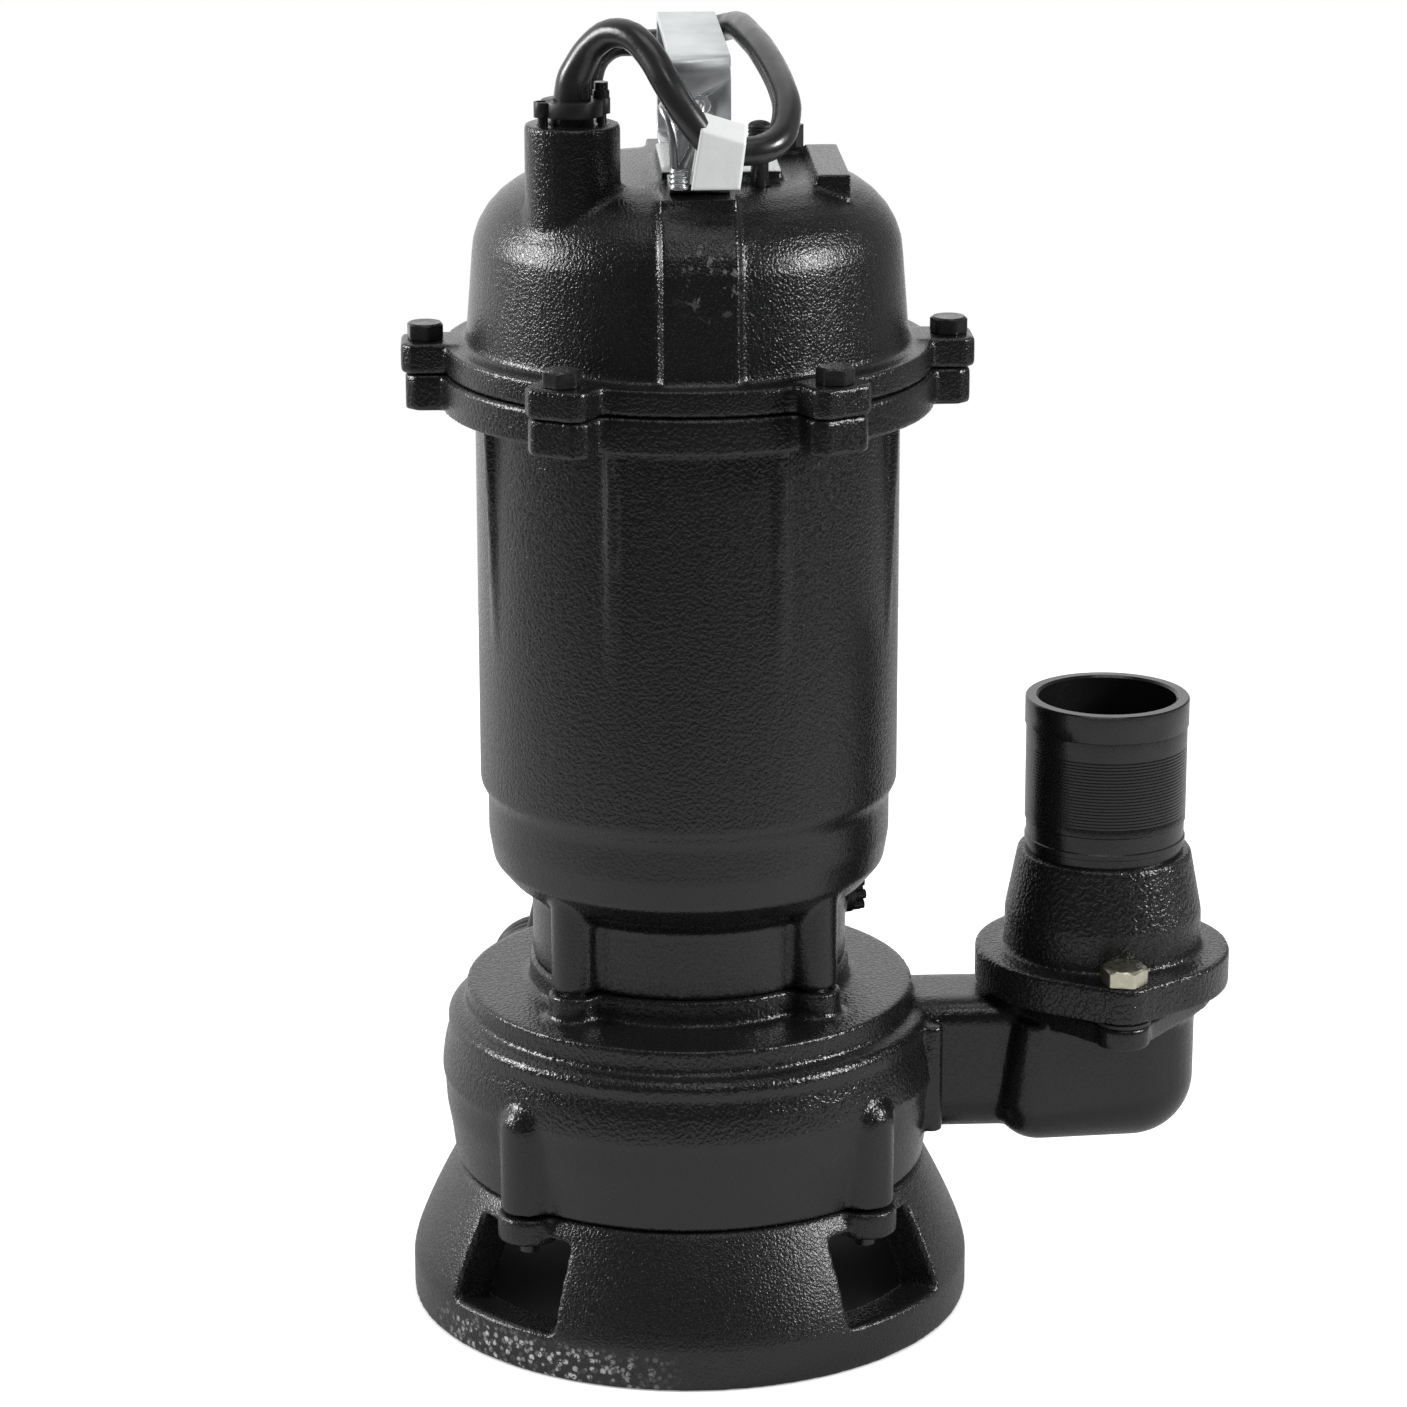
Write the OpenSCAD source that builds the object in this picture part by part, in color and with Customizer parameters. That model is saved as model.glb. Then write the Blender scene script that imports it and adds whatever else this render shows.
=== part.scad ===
// Submersible sump pump: cast-iron pump casing on a ring stand, motor housing, domed top cover
// with a strap handle, side outlet with a hose spigot, and a mains cord put away in a coil.
// Millimetres, +Z up. Every piece is its own module and its own node.

/* [Base stand] */
// Outer radius of the foot ring
base_r = 86.2; // [80:0.1:105]
// Height of the stand, from the floor to the pump casing
base_h = 45; // [36:0.5:60]
// Height of the upright band of the foot ring
band_h = 13; // [8:0.5:18]
// Radius of the stand where it meets the casing
base_top_r = 72; // [66:0.5:80]
// Wall thickness of the stand
base_wall = 7.5; // [5:0.5:10]
// Number of steps that the skirt's curve is drawn with
skirt_steps = 8; // [4:1:16]
// Width of each water window, in degrees
window_angle = 28; // [18:1:40]
// Height of each water window
window_h = 25.5; // [15:0.5:30]
// Radius of the suction eye
eye_r = 23; // [16:0.5:30]

/* [Pump casing] */
// Height of the casing, from the stand to its top plate
casing_h = 56; // [50:0.5:75]
// Largest outer radius of the casing
casing_r = 76.4; // [76:0.1:90]
// Radius of the raised top plate
plate_r = 68.6; // [66:0.1:80]
// Height of the upright edge of the top plate
plate_h = 9.7; // [6:0.1:12]
// Radius of the impeller chamber
chamber_r = 59; // [56:0.5:62]
// How far the scroll runs out beyond the chamber
scroll_growth = 7; // [3:0.5:8]
// Thickness of the casing's roof over the impeller
roof_t = 13; // [10:0.5:18]
// Radius of the pitch circle of the four casing columns
column_pitch_r = 71.8; // [68:0.1:76]
// Radius of each casing column
column_r = 8.5; // [6:0.5:9]
// Height of each casing column
column_h = 35; // [20:0.5:40]
// Height of the seating boss on the top plate
boss_h = 8.5; // [5:0.5:14]

/* [Outlet] */
// Distance of the hose spigot from the pump axis
outlet_x = 127.8; // [122:0.1:150]
// Radius of the outlet passage where it rises to the spigot
riser_r = 18; // [14:0.5:19]
// Half of the width of the passage through the outlet arm
duct_half_w = 12; // [9:0.5:12.5]
// Radius of the spigot's bore
spigot_bore_r = 21; // [16:0.5:21]
// Radius of the spigot's lip, where a hose is clamped
hose_r = 25; // [24:0.1:27]
// Radius of the spigot below the lip
spigot_r = 24.6; // [23:0.1:26]
// Height of the spigot above its flange
spigot_h = 79.8; // [60:0.1:120]
// Height of the spigot's lip
lip_h = 8.7; // [5:0.1:12]
// Radius of the spigot's flange
outlet_flange_r = 39.2; // [36:0.1:46]
// Reach of the elbow's flange to each side of its two lugs
elbow_flange_r = 34; // [32:0.1:38]
// Distance of each flange bolt from the spigot's axis
outlet_bolt_y = 37; // [35:0.5:44]
// Thickness of the upper outlet flange
spigot_flange_h = 11.4; // [8:0.1:16]
// Thickness of the lower outlet flange
elbow_flange_h = 7.2; // [6:0.1:14]
// Thickness of the outlet gasket
gasket_h = 1; // [0.5:0.1:2]
// Half of the outlet arm's width
arm_half_w = 16.5; // [16:0.1:20]

/* [Motor housing] */
// Radius of the neck, which is the oil chamber
neck_r = 48; // [46:0.5:54]
// Height of the neck
neck_h = 21.5; // [20:0.5:40]
// Outer radius of the motor housing
body_r = 63.3; // [62:0.1:75]
// Wall thickness of the motor housing around the stator
body_wall = 6.8; // [4:0.1:9]
// Height of the motor housing above the neck, with its flange
body_h = 162; // [160:0.5:240]
// Depth by which the lower body is stepped in
body_step = 2.3; // [1:0.1:3]
// Height of each cooling rib
rib_h = 71; // [40:1:110]
// Number of cooling ribs
rib_count = 8; // [4:1:12]
// Radius of the housing's top flange
flange_r = 73.5; // [72:0.1:85]
// Thickness of the housing's top flange
flange_h = 11; // [8:0.5:16]
// Number of flange lugs, each with a screw
lug_count = 6; // [4:1:8]
// Radius of the flange screws' circle
lug_pitch_r = 77.7; // [76:0.1:90]
// Width of each flange lug
lug_w = 19.5; // [16:0.5:22]

/* [Top cover] */
// Height of the cover, from the flange joint to its flat top
cover_h = 59; // [56:0.5:80]
// Thickness of the cover's flange
cover_flange_h = 8; // [6:0.5:12]
// Wall thickness of the cover
cover_wall = 6; // [4:0.5:7]
// Width of the pilaster that carries the handle on each side
pilaster_w = 22.5; // [20:0.5:28]
// Radius of the cable gland boss
gland_boss_r = 13.8; // [13:0.1:16]
// Height of the gland boss above the flat top
gland_boss_h = 18.7; // [12:0.1:24]

/* [Handle] */
// Width of the handle's strap
strap_w = 17.4; // [12:0.1:19]
// Thickness of the handle's strap
strap_t = 3; // [2:0.5:4]
// Overall length of the handle, across its two legs
handle_span = 94; // [94:0.5:96]
// Height of the handle above the cover's flat top
handle_h = 40; // [38:0.5:60]
// Radius of the hole in each leg of the handle
strap_hole_r = 2.9; // [2.5:0.1:4]

/* [Motor] */
// Radius of the stator's bore
stator_bore_r = 31; // [28:0.5:34]
// Length of the stator's lamination stack
stack_l = 70; // [50:1:74]
// Number of stator slots
slot_count = 24; // [12:6:36]
// Air gap between stator and rotor
air_gap = 0.3; // [0.2:0.05:0.5]
// Outer radius of the lower bearing
low_bearing_r = 20; // [20:0.5:22]
// Bore radius of the lower bearing
low_bore_r = 8.5; // [8:0.5:9]
// Width of the lower bearing
low_bearing_w = 12; // [10:0.5:12]
// Outer radius of the upper bearing
up_bearing_r = 17.5; // [16:0.5:18]
// Bore radius of the upper bearing
up_bore_r = 7.5; // [6:0.5:8]
// Width of the upper bearing
up_bearing_w = 11; // [9:0.5:11]
// Radius of the impeller
impeller_r = 53; // [45:0.5:54]
// Number of impeller vanes
vane_count = 4; // [2:1:6]

/* [Cord] */
// Diameter of the mains cord
cord_d = 8.4; // [7:0.1:8.4]
// Radius of the innermost turn of the put-away coil
coil_in_r = 36; // [34:0.1:42]
// Distance from turn to turn in the coil
coil_pitch = 9; // [8.9:0.1:10.5]
// Radius of the plug
plug_r = 17; // [14:0.5:17]

/* [Hidden] */
$fn = 96;

enamel = [0.09, 0.09, 0.095];
zinc = [0.72, 0.73, 0.74];
bolt_zinc = [0.78, 0.76, 0.66];
steel = [0.6, 0.61, 0.63];
rubber = [0.12, 0.12, 0.12];
plastic = [0.1, 0.1, 0.1];
copper = [0.72, 0.42, 0.2];
label_white = [0.9, 0.9, 0.9];

eps = 0.1;            // how far a cutter runs past the face it opens
run_gap = 0.05;       // running gap inside a bearing and at the seal faces
slip = 0.1;           // slip clearance of a seated piece, on its radius
clear = 0.3;          // clearance around a screw, on its radius
face_gap = 0.4;       // how far rough lugs stay back from a machined joint face

// Levels, from the floor upwards
casing_top = base_h + casing_h;
joint_z = casing_top + boss_h;
roof_z = casing_top - roof_t;
neck_top = joint_z + neck_h;
housing_top = neck_top + body_h;
flange_z = housing_top - flange_h;
cover_flange_top = housing_top + cover_flange_h;
cover_top = housing_top + cover_h;

// The origin is below the middle of the whole pump, cord aside
centre_x = (outlet_x + outlet_flange_r - base_r) / 2;
column_angles = [45, 135, 225, 315];

// Base stand
window_z = band_h + 0.5;
plate_t = base_wall;
lug_r = column_r + 1;
lug_h = 9;
stud_r = 3;
stud_tail = 3.9;
stud_l = 28;
base_seal_r = 61;
base_seal_w = 4;
base_seal_h = 1.5;

// Casing
casing_foot_r = casing_r - 4;
shoulder_r = casing_r - 2.6;
seam_z = casing_top - 28;
plate_z = casing_top - plate_h;
neck_column_r = 7;
neck_column_at = neck_r * 0.75;
neck_column_pitch = neck_column_at * sqrt(2);
neck_screw_r = 4;
neck_head_r = 6.5;
neck_head_h = 8;
neck_screw_up = 17;
seal_bore_r = 20;
seal_floor = roof_z + 10;
hub_hole_r = 14;
scroll_floor = base_h + 6;
scroll_top = roof_z - 2;
scroll_steps = 36;
scroll_start = 24;
scroll_sweep = 336;

// Outlet
outlet_joint = casing_top - 4.4;
elbow_flange_z = outlet_joint - elbow_flange_h;
gasket_top = outlet_joint + gasket_h;
spigot_flange_top = gasket_top + spigot_flange_h;
spigot_top = spigot_flange_top + spigot_h;
duct_z = base_h + 25.5;
duct_low_z = duct_z - 3;
duct_high_z = duct_z + 5;
duct_steps = 12;
dimple_r = 4;
elbow_r = 28.5;
elbow_half_w = 24;
elbow_floor = base_h + 3.4;
elbow_left_r = 14;
post_corner_r = 3.4;
outlet_lug_r = 8.4;
outlet_turn = 3;
outlet_screw_r = 4;
outlet_head_af = 13;
outlet_head_h = 5.3;
arm_floor = base_h + 6.5;
arm_top = casing_top - 5.3;
arm_top_corner_r = 7;
arm_low_corner_r = 14;
arm_corner_steps = 6;
groove_count = 8;
groove_pitch = 2.9;
groove_depth = 0.25;

// Motor housing
low_r = body_r - body_step;
bore_r = body_r - body_wall;
ledge_r = bore_r - 2.5;
step_z = neck_top + 31;
step_h = 4;
oil_r = neck_r - 8;
lip_seal_r = 15;
lip_seal_h = 7;
web_t = 3;
lip_seal_z = neck_top - 1;
low_bearing_z = lip_seal_z + lip_seal_h + web_t;
pocket_wall = 7;
shaft_hole_r = 10.5;
stack_z = neck_top + 59;
spigot_recess = 9;
recess_r = bore_r + 3.5;
bracket_z = housing_top - spigot_recess;
bracket_t = 6;
rib_w = 3.5;
rib_out = 2.8;
lug_out = 6;
lug_chamfer = 3;
flange_screw_r = 3;
flange_head_af = 10;
flange_head_h = 4.9;
cover_lug_rise = 1;
oil_plug_z = joint_z + 13.5;
oil_plug_turn = 15;
oil_plug_r = 5;

// Cover
dome_foot_r = body_r + 2.5;
dome_shoulder_r = body_r + 0.4;
dome_crown_h = 25;
dome_crown_r = 27.7;
dome_crown_z = cover_top - dome_crown_h;
dome_steps = 8;
cover_seal_h = 1.5;
cover_seal_w = 4;
cover_seal_r = recess_r + 2;
pilaster_proud = 2;
pilaster_x = 0.9;
pad_x0 = -8.5;
pad_x1 = 26.5;
pad_half_y = 24.3;
pad_h = 3.5;
block_x0 = 36;
block_x1 = 46;
block_y0 = -28;
block_y1 = 25;
block_h = 2.5;
gland_x = -34.3;
gland_y = -30;
gland_top = cover_top + gland_boss_h;
gland_pocket_r = 6.3;
gland_pocket_h = 13.5;
gland_hole_r = 5;
gland_seal_h = 10;
gland_washer_h = 1;
gland_lift = 2.3;
gland_plate_t = 4.4;
gland_plate_r = 8.9;
gland_screw_at = 9;
gland_turn = 20;
gland_screw_r = 1.5;
gland_lug_r = 2.6;
gland_long_screw = 4.6;

// Handle
strap_x = 1.7;
strap_corner_r = 6;
foot_l = 20;
corner_steps = 5;
strap_hole_z = cover_top + 26;
handle_screw_r = 3;
handle_screw_y = handle_span / 2 - 12;
handle_head_h = 6;

// Small parts on the cover
post_x = 19.6;
post_y = -29;
post_r = 2.6;
post_h = 18.8;
post_cap_r = 3.4;
post_cap_h = 4.8;
vent_x = 31;
vent_y = 28;
vent_r = 4.5;
vent_h = 8;
ferrule_x = -4.6;
ferrule_y = -50;
ferrule_r = 2.8;
ferrule_h = 5.8;
ferrule_z = cover_top + 3;
wire_r = 1.2;

// Shaft line
shaft_r = low_bore_r;
shaft_mid_r = shaft_r + 1.5;
impeller_seat_r = 7;
thread_r = 5;
nut_h = 6;
nut_af = 17;
thrust_washer_h = 2;
thrust_washer_r = 10;
hub_r = 13;
hub_z = base_h + 12;
hub_top = roof_z + 5;
shroud_z = roof_z - 6;
shroud_t = 4;
vane_z = base_h + 3;
vane_t = 4;
vane_in_r = 17;
vane_steps = 10;
vane_sweep = 80;
key_w = 5;
nut_z = hub_z - thrust_washer_h - nut_h;
thread_end = nut_z - 3;
seat_h = 6;
seat_top = seal_floor + seat_h;
head_h = 9;
head_r = 14;
head_z = seat_top + run_gap;
spring_z = head_z + head_h;
spring_top = lip_seal_z - 0.5;
spring_r = 12;
rotor_r = stator_bore_r - air_gap;
end_ring_l = 6;
winding_l = 15;
slot_w = 5;
slot_l = 14;
slot_r = stator_bore_r + 4;
up_bearing_top = housing_top - 5;
up_bearing_z = up_bearing_top - up_bearing_w;
bracket_hub_r = up_bearing_r + 7;
wave_h = 2;
wire_hole_r = 8;
wire_hole_at = 38;
ball_count = 8;

// Inside the cover
capacitor_r = 17;
capacitor_l = 70;
capacitor_x = 18;
capacitor_z = housing_top + 24;
clip_t = 2;
clip_w = 14;
block_half_y = 13.5;
terminal_x0 = -39;
terminal_x1 = -26.5;
terminal_y0 = -35;
terminal_h = 14;
lead_r = 1.2;

// Cord
cord_r = cord_d / 2;
cord_sides = 10;
coil_layers = 4;
coil_turns = 3;
climb_turns = 0.5;
climb_swell = 1.2;
coil_rings = 24;
coil_sides = 6;
coil_lead = 8.4;
coil_out_r = coil_in_r + coil_turns * coil_pitch;
coil_front_y = 97.8;
coil_y = coil_front_y + coil_out_r;
coil_z = 4.25;
band_top = 0.4;
band_y0 = -61;
band_y1 = -51.7;
pin_r = 2.4;
pin_l = 19;
pin_at = 9.5;
plug_l = 60;
relief_l = 22;

// The cord's route from the gland, over the cover, through its loop behind the handle, down the
// back of the pump and along the floor to the coil
CORD_ROUTE = [
    [-34.3, -30, 377], [-34.3, -30, 379.5], [-33.7, -30.8, 383.4], [-32.2, -31.6, 387], [-29.7, -33, 391.6],
    [-26.7, -35.3, 395.2], [-23.1, -38.3, 397.6], [-20.2, -41, 398.2], [-17.4, -43.9, 397.4],
    [-14.7, -46.8, 395.4], [-12.4, -49.3, 392.8], [-10.2, -51.8, 389.4], [-8.1, -54, 385.7],
    [-5.5, -55.5, 381.6], [-2.6, -56.3, 377.1], [0.4, -56.4, 372.6], [4.2, -56.4, 368.9], [9.3, -56.4, 366.9],
    [15, -56, 366.5], [20.2, -53.8, 367.2], [24.2, -49.3, 369.4], [26.3, -43.6, 372.2], [26.8, -37.6, 375.1],
    [26.6, -31, 377.5], [26, -24, 379.8], [25, -16, 382], [23.7, -7, 384.1], [22.2, 3, 385.9],
    [20.7, 12, 387.1], [19.2, 22, 387.9], [18, 31, 388.2], [17.2, 38.5, 388.1], [16.4, 44, 387.5],
    [14.8, 49, 386.3], [11.3, 52.7, 384.9], [6.4, 54.3, 383.3], [0, 54.4, 381.8], [-6.4, 53.8, 380.8],
    [-13, 53, 381.1], [-18.6, 52.2, 381], [-23, 50.9, 379], [-26, 49.9, 375.4], [-27.4, 49.8, 370.4],
    [-27.7, 52, 364], [-26.8, 57.6, 355], [-24, 67.5, 341], [-19.5, 77, 322], [-16.5, 82.6, 301],
    [-15.6, 84.8, 281], [-15.8, 86.3, 260], [-17, 87.3, 238], [-20, 88.5, 200], [-26, 90, 160],
    [-34, 92, 125], [-43, 94.5, 92], [-50, 96.7, 64], [-52.8, 97.8, 42], [-50.5, 97.8, 27.5],
    [-43, 97.8, 15.5], [-31.5, 97.8, 7.6], [-18, 97.8, 4.25], [-8.4, 97.8, 4.25]
];
// The cord's route from the top of the coil to the plug that lies on it
TAIL_ROUTE = [
    [-8.4, 223.8, 31.25], [-13, 223.8, 31.25], [-21, 222.5, 32.2], [-29, 219, 34.6], [-36, 213.4, 38.8],
    [-41.2, 206, 44], [-44, 198, 49], [-44.5, 191.5, 51.8], [-44.5, 187, 52.8], [-44.5, 183, 52.8]
];
// The loop of wire round the handle's leg and through its hole
WIRE_POINTS = [
    [-5.9, -50, 8.8], [-5.9, -50, 9.6], [-6.2, -50, 14], [-6.6, -49.8, 18.4], [-7.4, -49, 22],
    [-8.7, -47, 24.6], [-9, -44.7, 25.6], [-7.8, -42.4, 26], [-3, -41.8, 26.2], [0.6, -42, 26.2],
    [1.7, -44, 26.1], [1.7, -48.6, 26], [1.4, -49.9, 23.5], [0.2, -50.1, 18.5], [-1.2, -50.1, 14],
    [-3.3, -50, 9.6], [-3.3, -50, 8.8]
];
WIRE_ROUTE = [for (p = WIRE_POINTS) p + [0, 0, cover_top]];
// The folded tape's outline above the cover, seen from the front: top left, top right, bottom
// right, bottom left
BAND_OUTLINE = [[1.8, 25.9], [14.4, 21.9], [12.2, 4.5], [-1.7, 4.5]];
BAND_SIDE_CLEAR = 20;

// ---------- Shared shapes ----------

// Moves a piece drawn about the pump axis into the part's frame
module on_axis() {
    translate([-centre_x, 0, 0]) children();
}

module disc(r, z0, z1) {
    translate([0, 0, z0]) cylinder(r = r, h = z1 - z0);
}

module ring(r_out, r_in, z0, z1) {
    difference() {
        disc(r_out, z0, z1);
        disc(r_in, z0 - eps, z1 + eps);
    }
}

module hex(af, z0, z1) {
    translate([0, 0, z0]) cylinder(r = af / sqrt(3), h = z1 - z0, $fn = 6);
}

module box(x0, x1, y0, y1, z0, z1) {
    translate([x0, y0, z0]) cube([x1 - x0, y1 - y0, z1 - z0]);
}

module at_columns() {
    for (a = column_angles) rotate([0, 0, a]) translate([column_pitch_r, 0, 0]) children();
}

module at_neck_columns() {
    for (a = column_angles) rotate([0, 0, a]) translate([neck_column_pitch, 0, 0]) children();
}

module at_lugs() {
    for (i = [0 : lug_count - 1]) rotate([0, 0, i * 360 / lug_count]) children();
}

function unit(v) = v / norm(v);
function along(p, i) = unit(p[min(i + 1, len(p) - 1)] - p[max(i - 1, 0)]);
function square_to(n, t) = unit(n - (n * t) * t);
function first_side(t) = square_to(abs(t[2]) > 0.9 ? [1, 0, 0] : [0, 0, 1], t);
function carried_sides(p) = [
    for (i = 0, n = first_side(along(p, 0)); i < len(p);
        i = i + 1, n = square_to(n, along(p, min(i, len(p) - 1)))) n
];
function ring_point(c, n, t, r, a) = c + r * (cos(a) * n + sin(a) * cross(t, n));
function total(v) = v * [for (n = v) 1];
function path_length(p) = total([for (i = [1 : len(p) - 1]) norm(p[i] - p[i - 1])]);

// Points round an arc from one angle to another
function arc_points(cy, cz, r, a0, a1, steps) = [
    for (i = [0 : steps])
        let (a = a0 + (a1 - a0) * i / steps) [cy + r * cos(a), cz + r * sin(a)]
];

// A round tube along points, with flat ends
module tube(points, r, sides) {
    side = carried_sides(points);
    rings = len(points);
    verts = [
        for (i = [0 : rings - 1], k = [0 : sides - 1])
            ring_point(points[i], side[i], along(points, i), r, 360 * k / sides)
    ];
    walls = [
        for (i = [0 : rings - 2], k = [0 : sides - 1])
            let (a = i * sides + k, b = i * sides + (k + 1) % sides)
                each [[a, a + sides, b + sides], [a, b + sides, b]]
    ];
    start_cap = [for (k = [1 : sides - 2]) [0, k, k + 1]];
    last = (rings - 1) * sides;
    end_cap = [for (k = [1 : sides - 2]) [last, last + k + 1, last + k]];
    polyhedron(points = verts, faces = concat(walls, start_cap, end_cap));
}

// ---------- Base stand ----------

function skirt_r(u) = base_r - (base_r - base_top_r) * pow(u, 1.25);

module base_profile() {
    polygon(concat(
        [[base_r, 0]],
        [for (i = [0 : skirt_steps])
            let (u = i / skirt_steps) [skirt_r(u), band_h + u * (base_h - band_h)]],
        [
            [eye_r, base_h], [eye_r, base_h - plate_t], [base_top_r - base_wall - 5, base_h - plate_t],
            [base_top_r - base_wall + 1, base_h - plate_t - 7],
            [base_r - base_wall - 5.5, band_h], [base_r - base_wall - 1.5, 0]
        ]
    ));
}

module window_cutter(angle) {
    near = 50;
    far = 100;
    half = window_angle / 2;
    rotate([0, 0, angle]) translate([0, 0, window_z]) linear_extrude(window_h)
        polygon([
            [near * cos(half), -near * sin(half)], [far * cos(half), -far * sin(half)],
            [far * cos(half), far * sin(half)], [near * cos(half), near * sin(half)]
        ]);
}

module base_stand() {
    color(enamel) on_axis() difference() {
        union() {
            rotate_extrude() base_profile();
            at_columns() disc(lug_r, base_h - lug_h, base_h - face_gap);
        }
        difference() {
            for (a = column_angles) window_cutter(a);
            at_columns() disc(lug_r, base_h - lug_h, base_h);
        }
        at_columns() disc(stud_r, base_h - lug_h - eps, base_h + eps);
        ring(base_seal_r + base_seal_w, base_seal_r, base_h - base_seal_h, base_h + eps);
    }
}

module base_studs() {
    color(steel) on_axis() at_columns()
        disc(stud_r, base_h - lug_h - stud_tail, base_h - lug_h - stud_tail + stud_l);
}

module base_seal() {
    color(rubber) on_axis() ring(base_seal_r + base_seal_w, base_seal_r, base_h - base_seal_h, base_h);
}

// ---------- Pump casing with its outlet elbow ----------

module casing_profile() {
    polygon([
        [0, base_h], [casing_foot_r, base_h], [casing_r - 2.7, base_h + 10.5], [casing_r - 1.3, base_h + 18],
        [casing_r - 0.7, seam_z - 0.5], [casing_r, seam_z], [casing_r - 0.3, seam_z + 4],
        [casing_r - 1, seam_z + 9], [shoulder_r + 0.2, plate_z - 4.5], [shoulder_r - 0.2, plate_z - 3.9],
        [shoulder_r + 0.4, plate_z - 3.1], [shoulder_r + 0.7, plate_z - 1.7], [shoulder_r + 0.4, plate_z - 0.3],
        [shoulder_r - 0.5, plate_z + 0.9], [shoulder_r - 1.8, plate_z + 1.7], [shoulder_r - 3.4, plate_z + 2],
        [plate_r, plate_z + 1.5],
        [plate_r, casing_top], [0, casing_top]
    ]);
}

module elbow_body() {
    corner_r = 8;
    bend_r = 20;
    left = outlet_x - elbow_r;
    right = outlet_x + elbow_r;
    hull() {
        for (s = [-1, 1]) {
            translate([left + corner_r, s * (elbow_half_w - corner_r), elbow_flange_z - 1])
                cylinder(r = corner_r, h = 2, $fn = 32);
            translate([left + corner_r, s * (elbow_half_w - elbow_left_r), elbow_floor + 1 + elbow_left_r])
                sphere(r = elbow_left_r, $fn = 32);
            translate([right - bend_r, s * (elbow_half_w - bend_r), elbow_floor + bend_r])
                sphere(r = bend_r, $fn = 40);
            translate([right - bend_r, s * (elbow_half_w - bend_r), elbow_flange_z - 1])
                cylinder(r = bend_r, h = 2, $fn = 40);
        }
    }
}

// The arm from the casing to the elbow, flat on top and rounded below
module arm() {
    top_y = arm_half_w - arm_top_corner_r;
    top_z = arm_top - arm_top_corner_r;
    low_y = arm_half_w - arm_low_corner_r;
    low_z = arm_floor + arm_low_corner_r;
    start = plate_r - 10;
    length = outlet_x - riser_r - 1 - start;
    rotate([90, 0, 90]) translate([0, 0, start]) linear_extrude(length) polygon(concat(
        arc_points(top_y, top_z, arm_top_corner_r, 0, 90, arm_corner_steps),
        arc_points(-top_y, top_z, arm_top_corner_r, 90, 180, arm_corner_steps),
        arc_points(-low_y, low_z, arm_low_corner_r, 180, 270, arm_corner_steps),
        arc_points(low_y, low_z, arm_low_corner_r, 270, 360, arm_corner_steps)
    ));
}

module at_outlet() {
    translate([outlet_x, 0, 0]) rotate([0, 0, outlet_turn]) children();
}

module at_outlet_bolts() {
    at_outlet() for (s = [-1, 1]) translate([0, s * outlet_bolt_y, 0]) children();
}

// A flange: a round plate with a rounded lug at each of its two bolts
module outlet_flange(r, z0, z1) {
    lean = (r - outlet_lug_r) / outlet_bolt_y;
    wide = sqrt(1 - lean * lean);
    inset = 0.1;
    big = r - inset;
    small = outlet_lug_r - inset;
    disc(r, z0, z1);
    for (s = [-1, 1]) {
        translate([0, s * outlet_bolt_y, 0]) disc(outlet_lug_r, z0, z1);
        translate([0, 0, z0]) linear_extrude(z1 - z0) polygon([
            [-big * wide, s * big * lean], [big * wide, s * big * lean],
            [small * wide, s * (outlet_bolt_y + small * lean)],
            [-small * wide, s * (outlet_bolt_y + small * lean)]
        ]);
    }
}

// The elbow's flange: a rhomb with a rounded lug at each of its two bolts
module elbow_flange(z0, z1) {
    lug_side = outlet_lug_r - 0.3;
    shoulder_x = elbow_flange_r - 2.9;
    shoulder_y = 10;
    end_y = 4;
    for (s = [-1, 1]) translate([0, s * outlet_bolt_y, 0]) disc(outlet_lug_r, z0, z1);
    translate([0, 0, z0]) linear_extrude(z1 - z0) polygon([
        for (q = [[1, 1], [-1, 1], [-1, -1], [1, -1]])
            let (corners = [[elbow_flange_r, end_y], [shoulder_x, shoulder_y], [lug_side, outlet_bolt_y + 1.2]])
                for (i = [0 : 2])
                    let (c = corners[q[0] == q[1] ? i : 2 - i]) [q[0] * c[0], q[1] * c[1]]
    ]);
}

module scroll_cutter() {
    translate([0, 0, scroll_floor]) linear_extrude(scroll_top - scroll_floor) polygon([
        for (i = [0 : scroll_steps])
            let (u = i / scroll_steps, a = scroll_start + scroll_sweep * u)
            let (r = chamber_r + 1 + (scroll_growth - 1) * u)
                [r * cos(a), r * sin(a)]
    ]);
}

module outlet_passage() {
    rotate([90, 0, 90]) translate([0, 0, chamber_r - 25]) linear_extrude(outlet_x - chamber_r + 25)
        polygon(concat(
            arc_points(0, duct_high_z, duct_half_w, 0, 180, duct_steps),
            arc_points(0, duct_low_z, duct_half_w, 180, 360, duct_steps)
        ));
    translate([outlet_x, 0, duct_z]) sphere(r = riser_r + 0.5);
    translate([outlet_x, 0, 0]) {
        disc(riser_r, duct_z, outlet_joint + eps);
        disc(dimple_r, duct_z - riser_r - 1, duct_z);
    }
}

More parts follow.
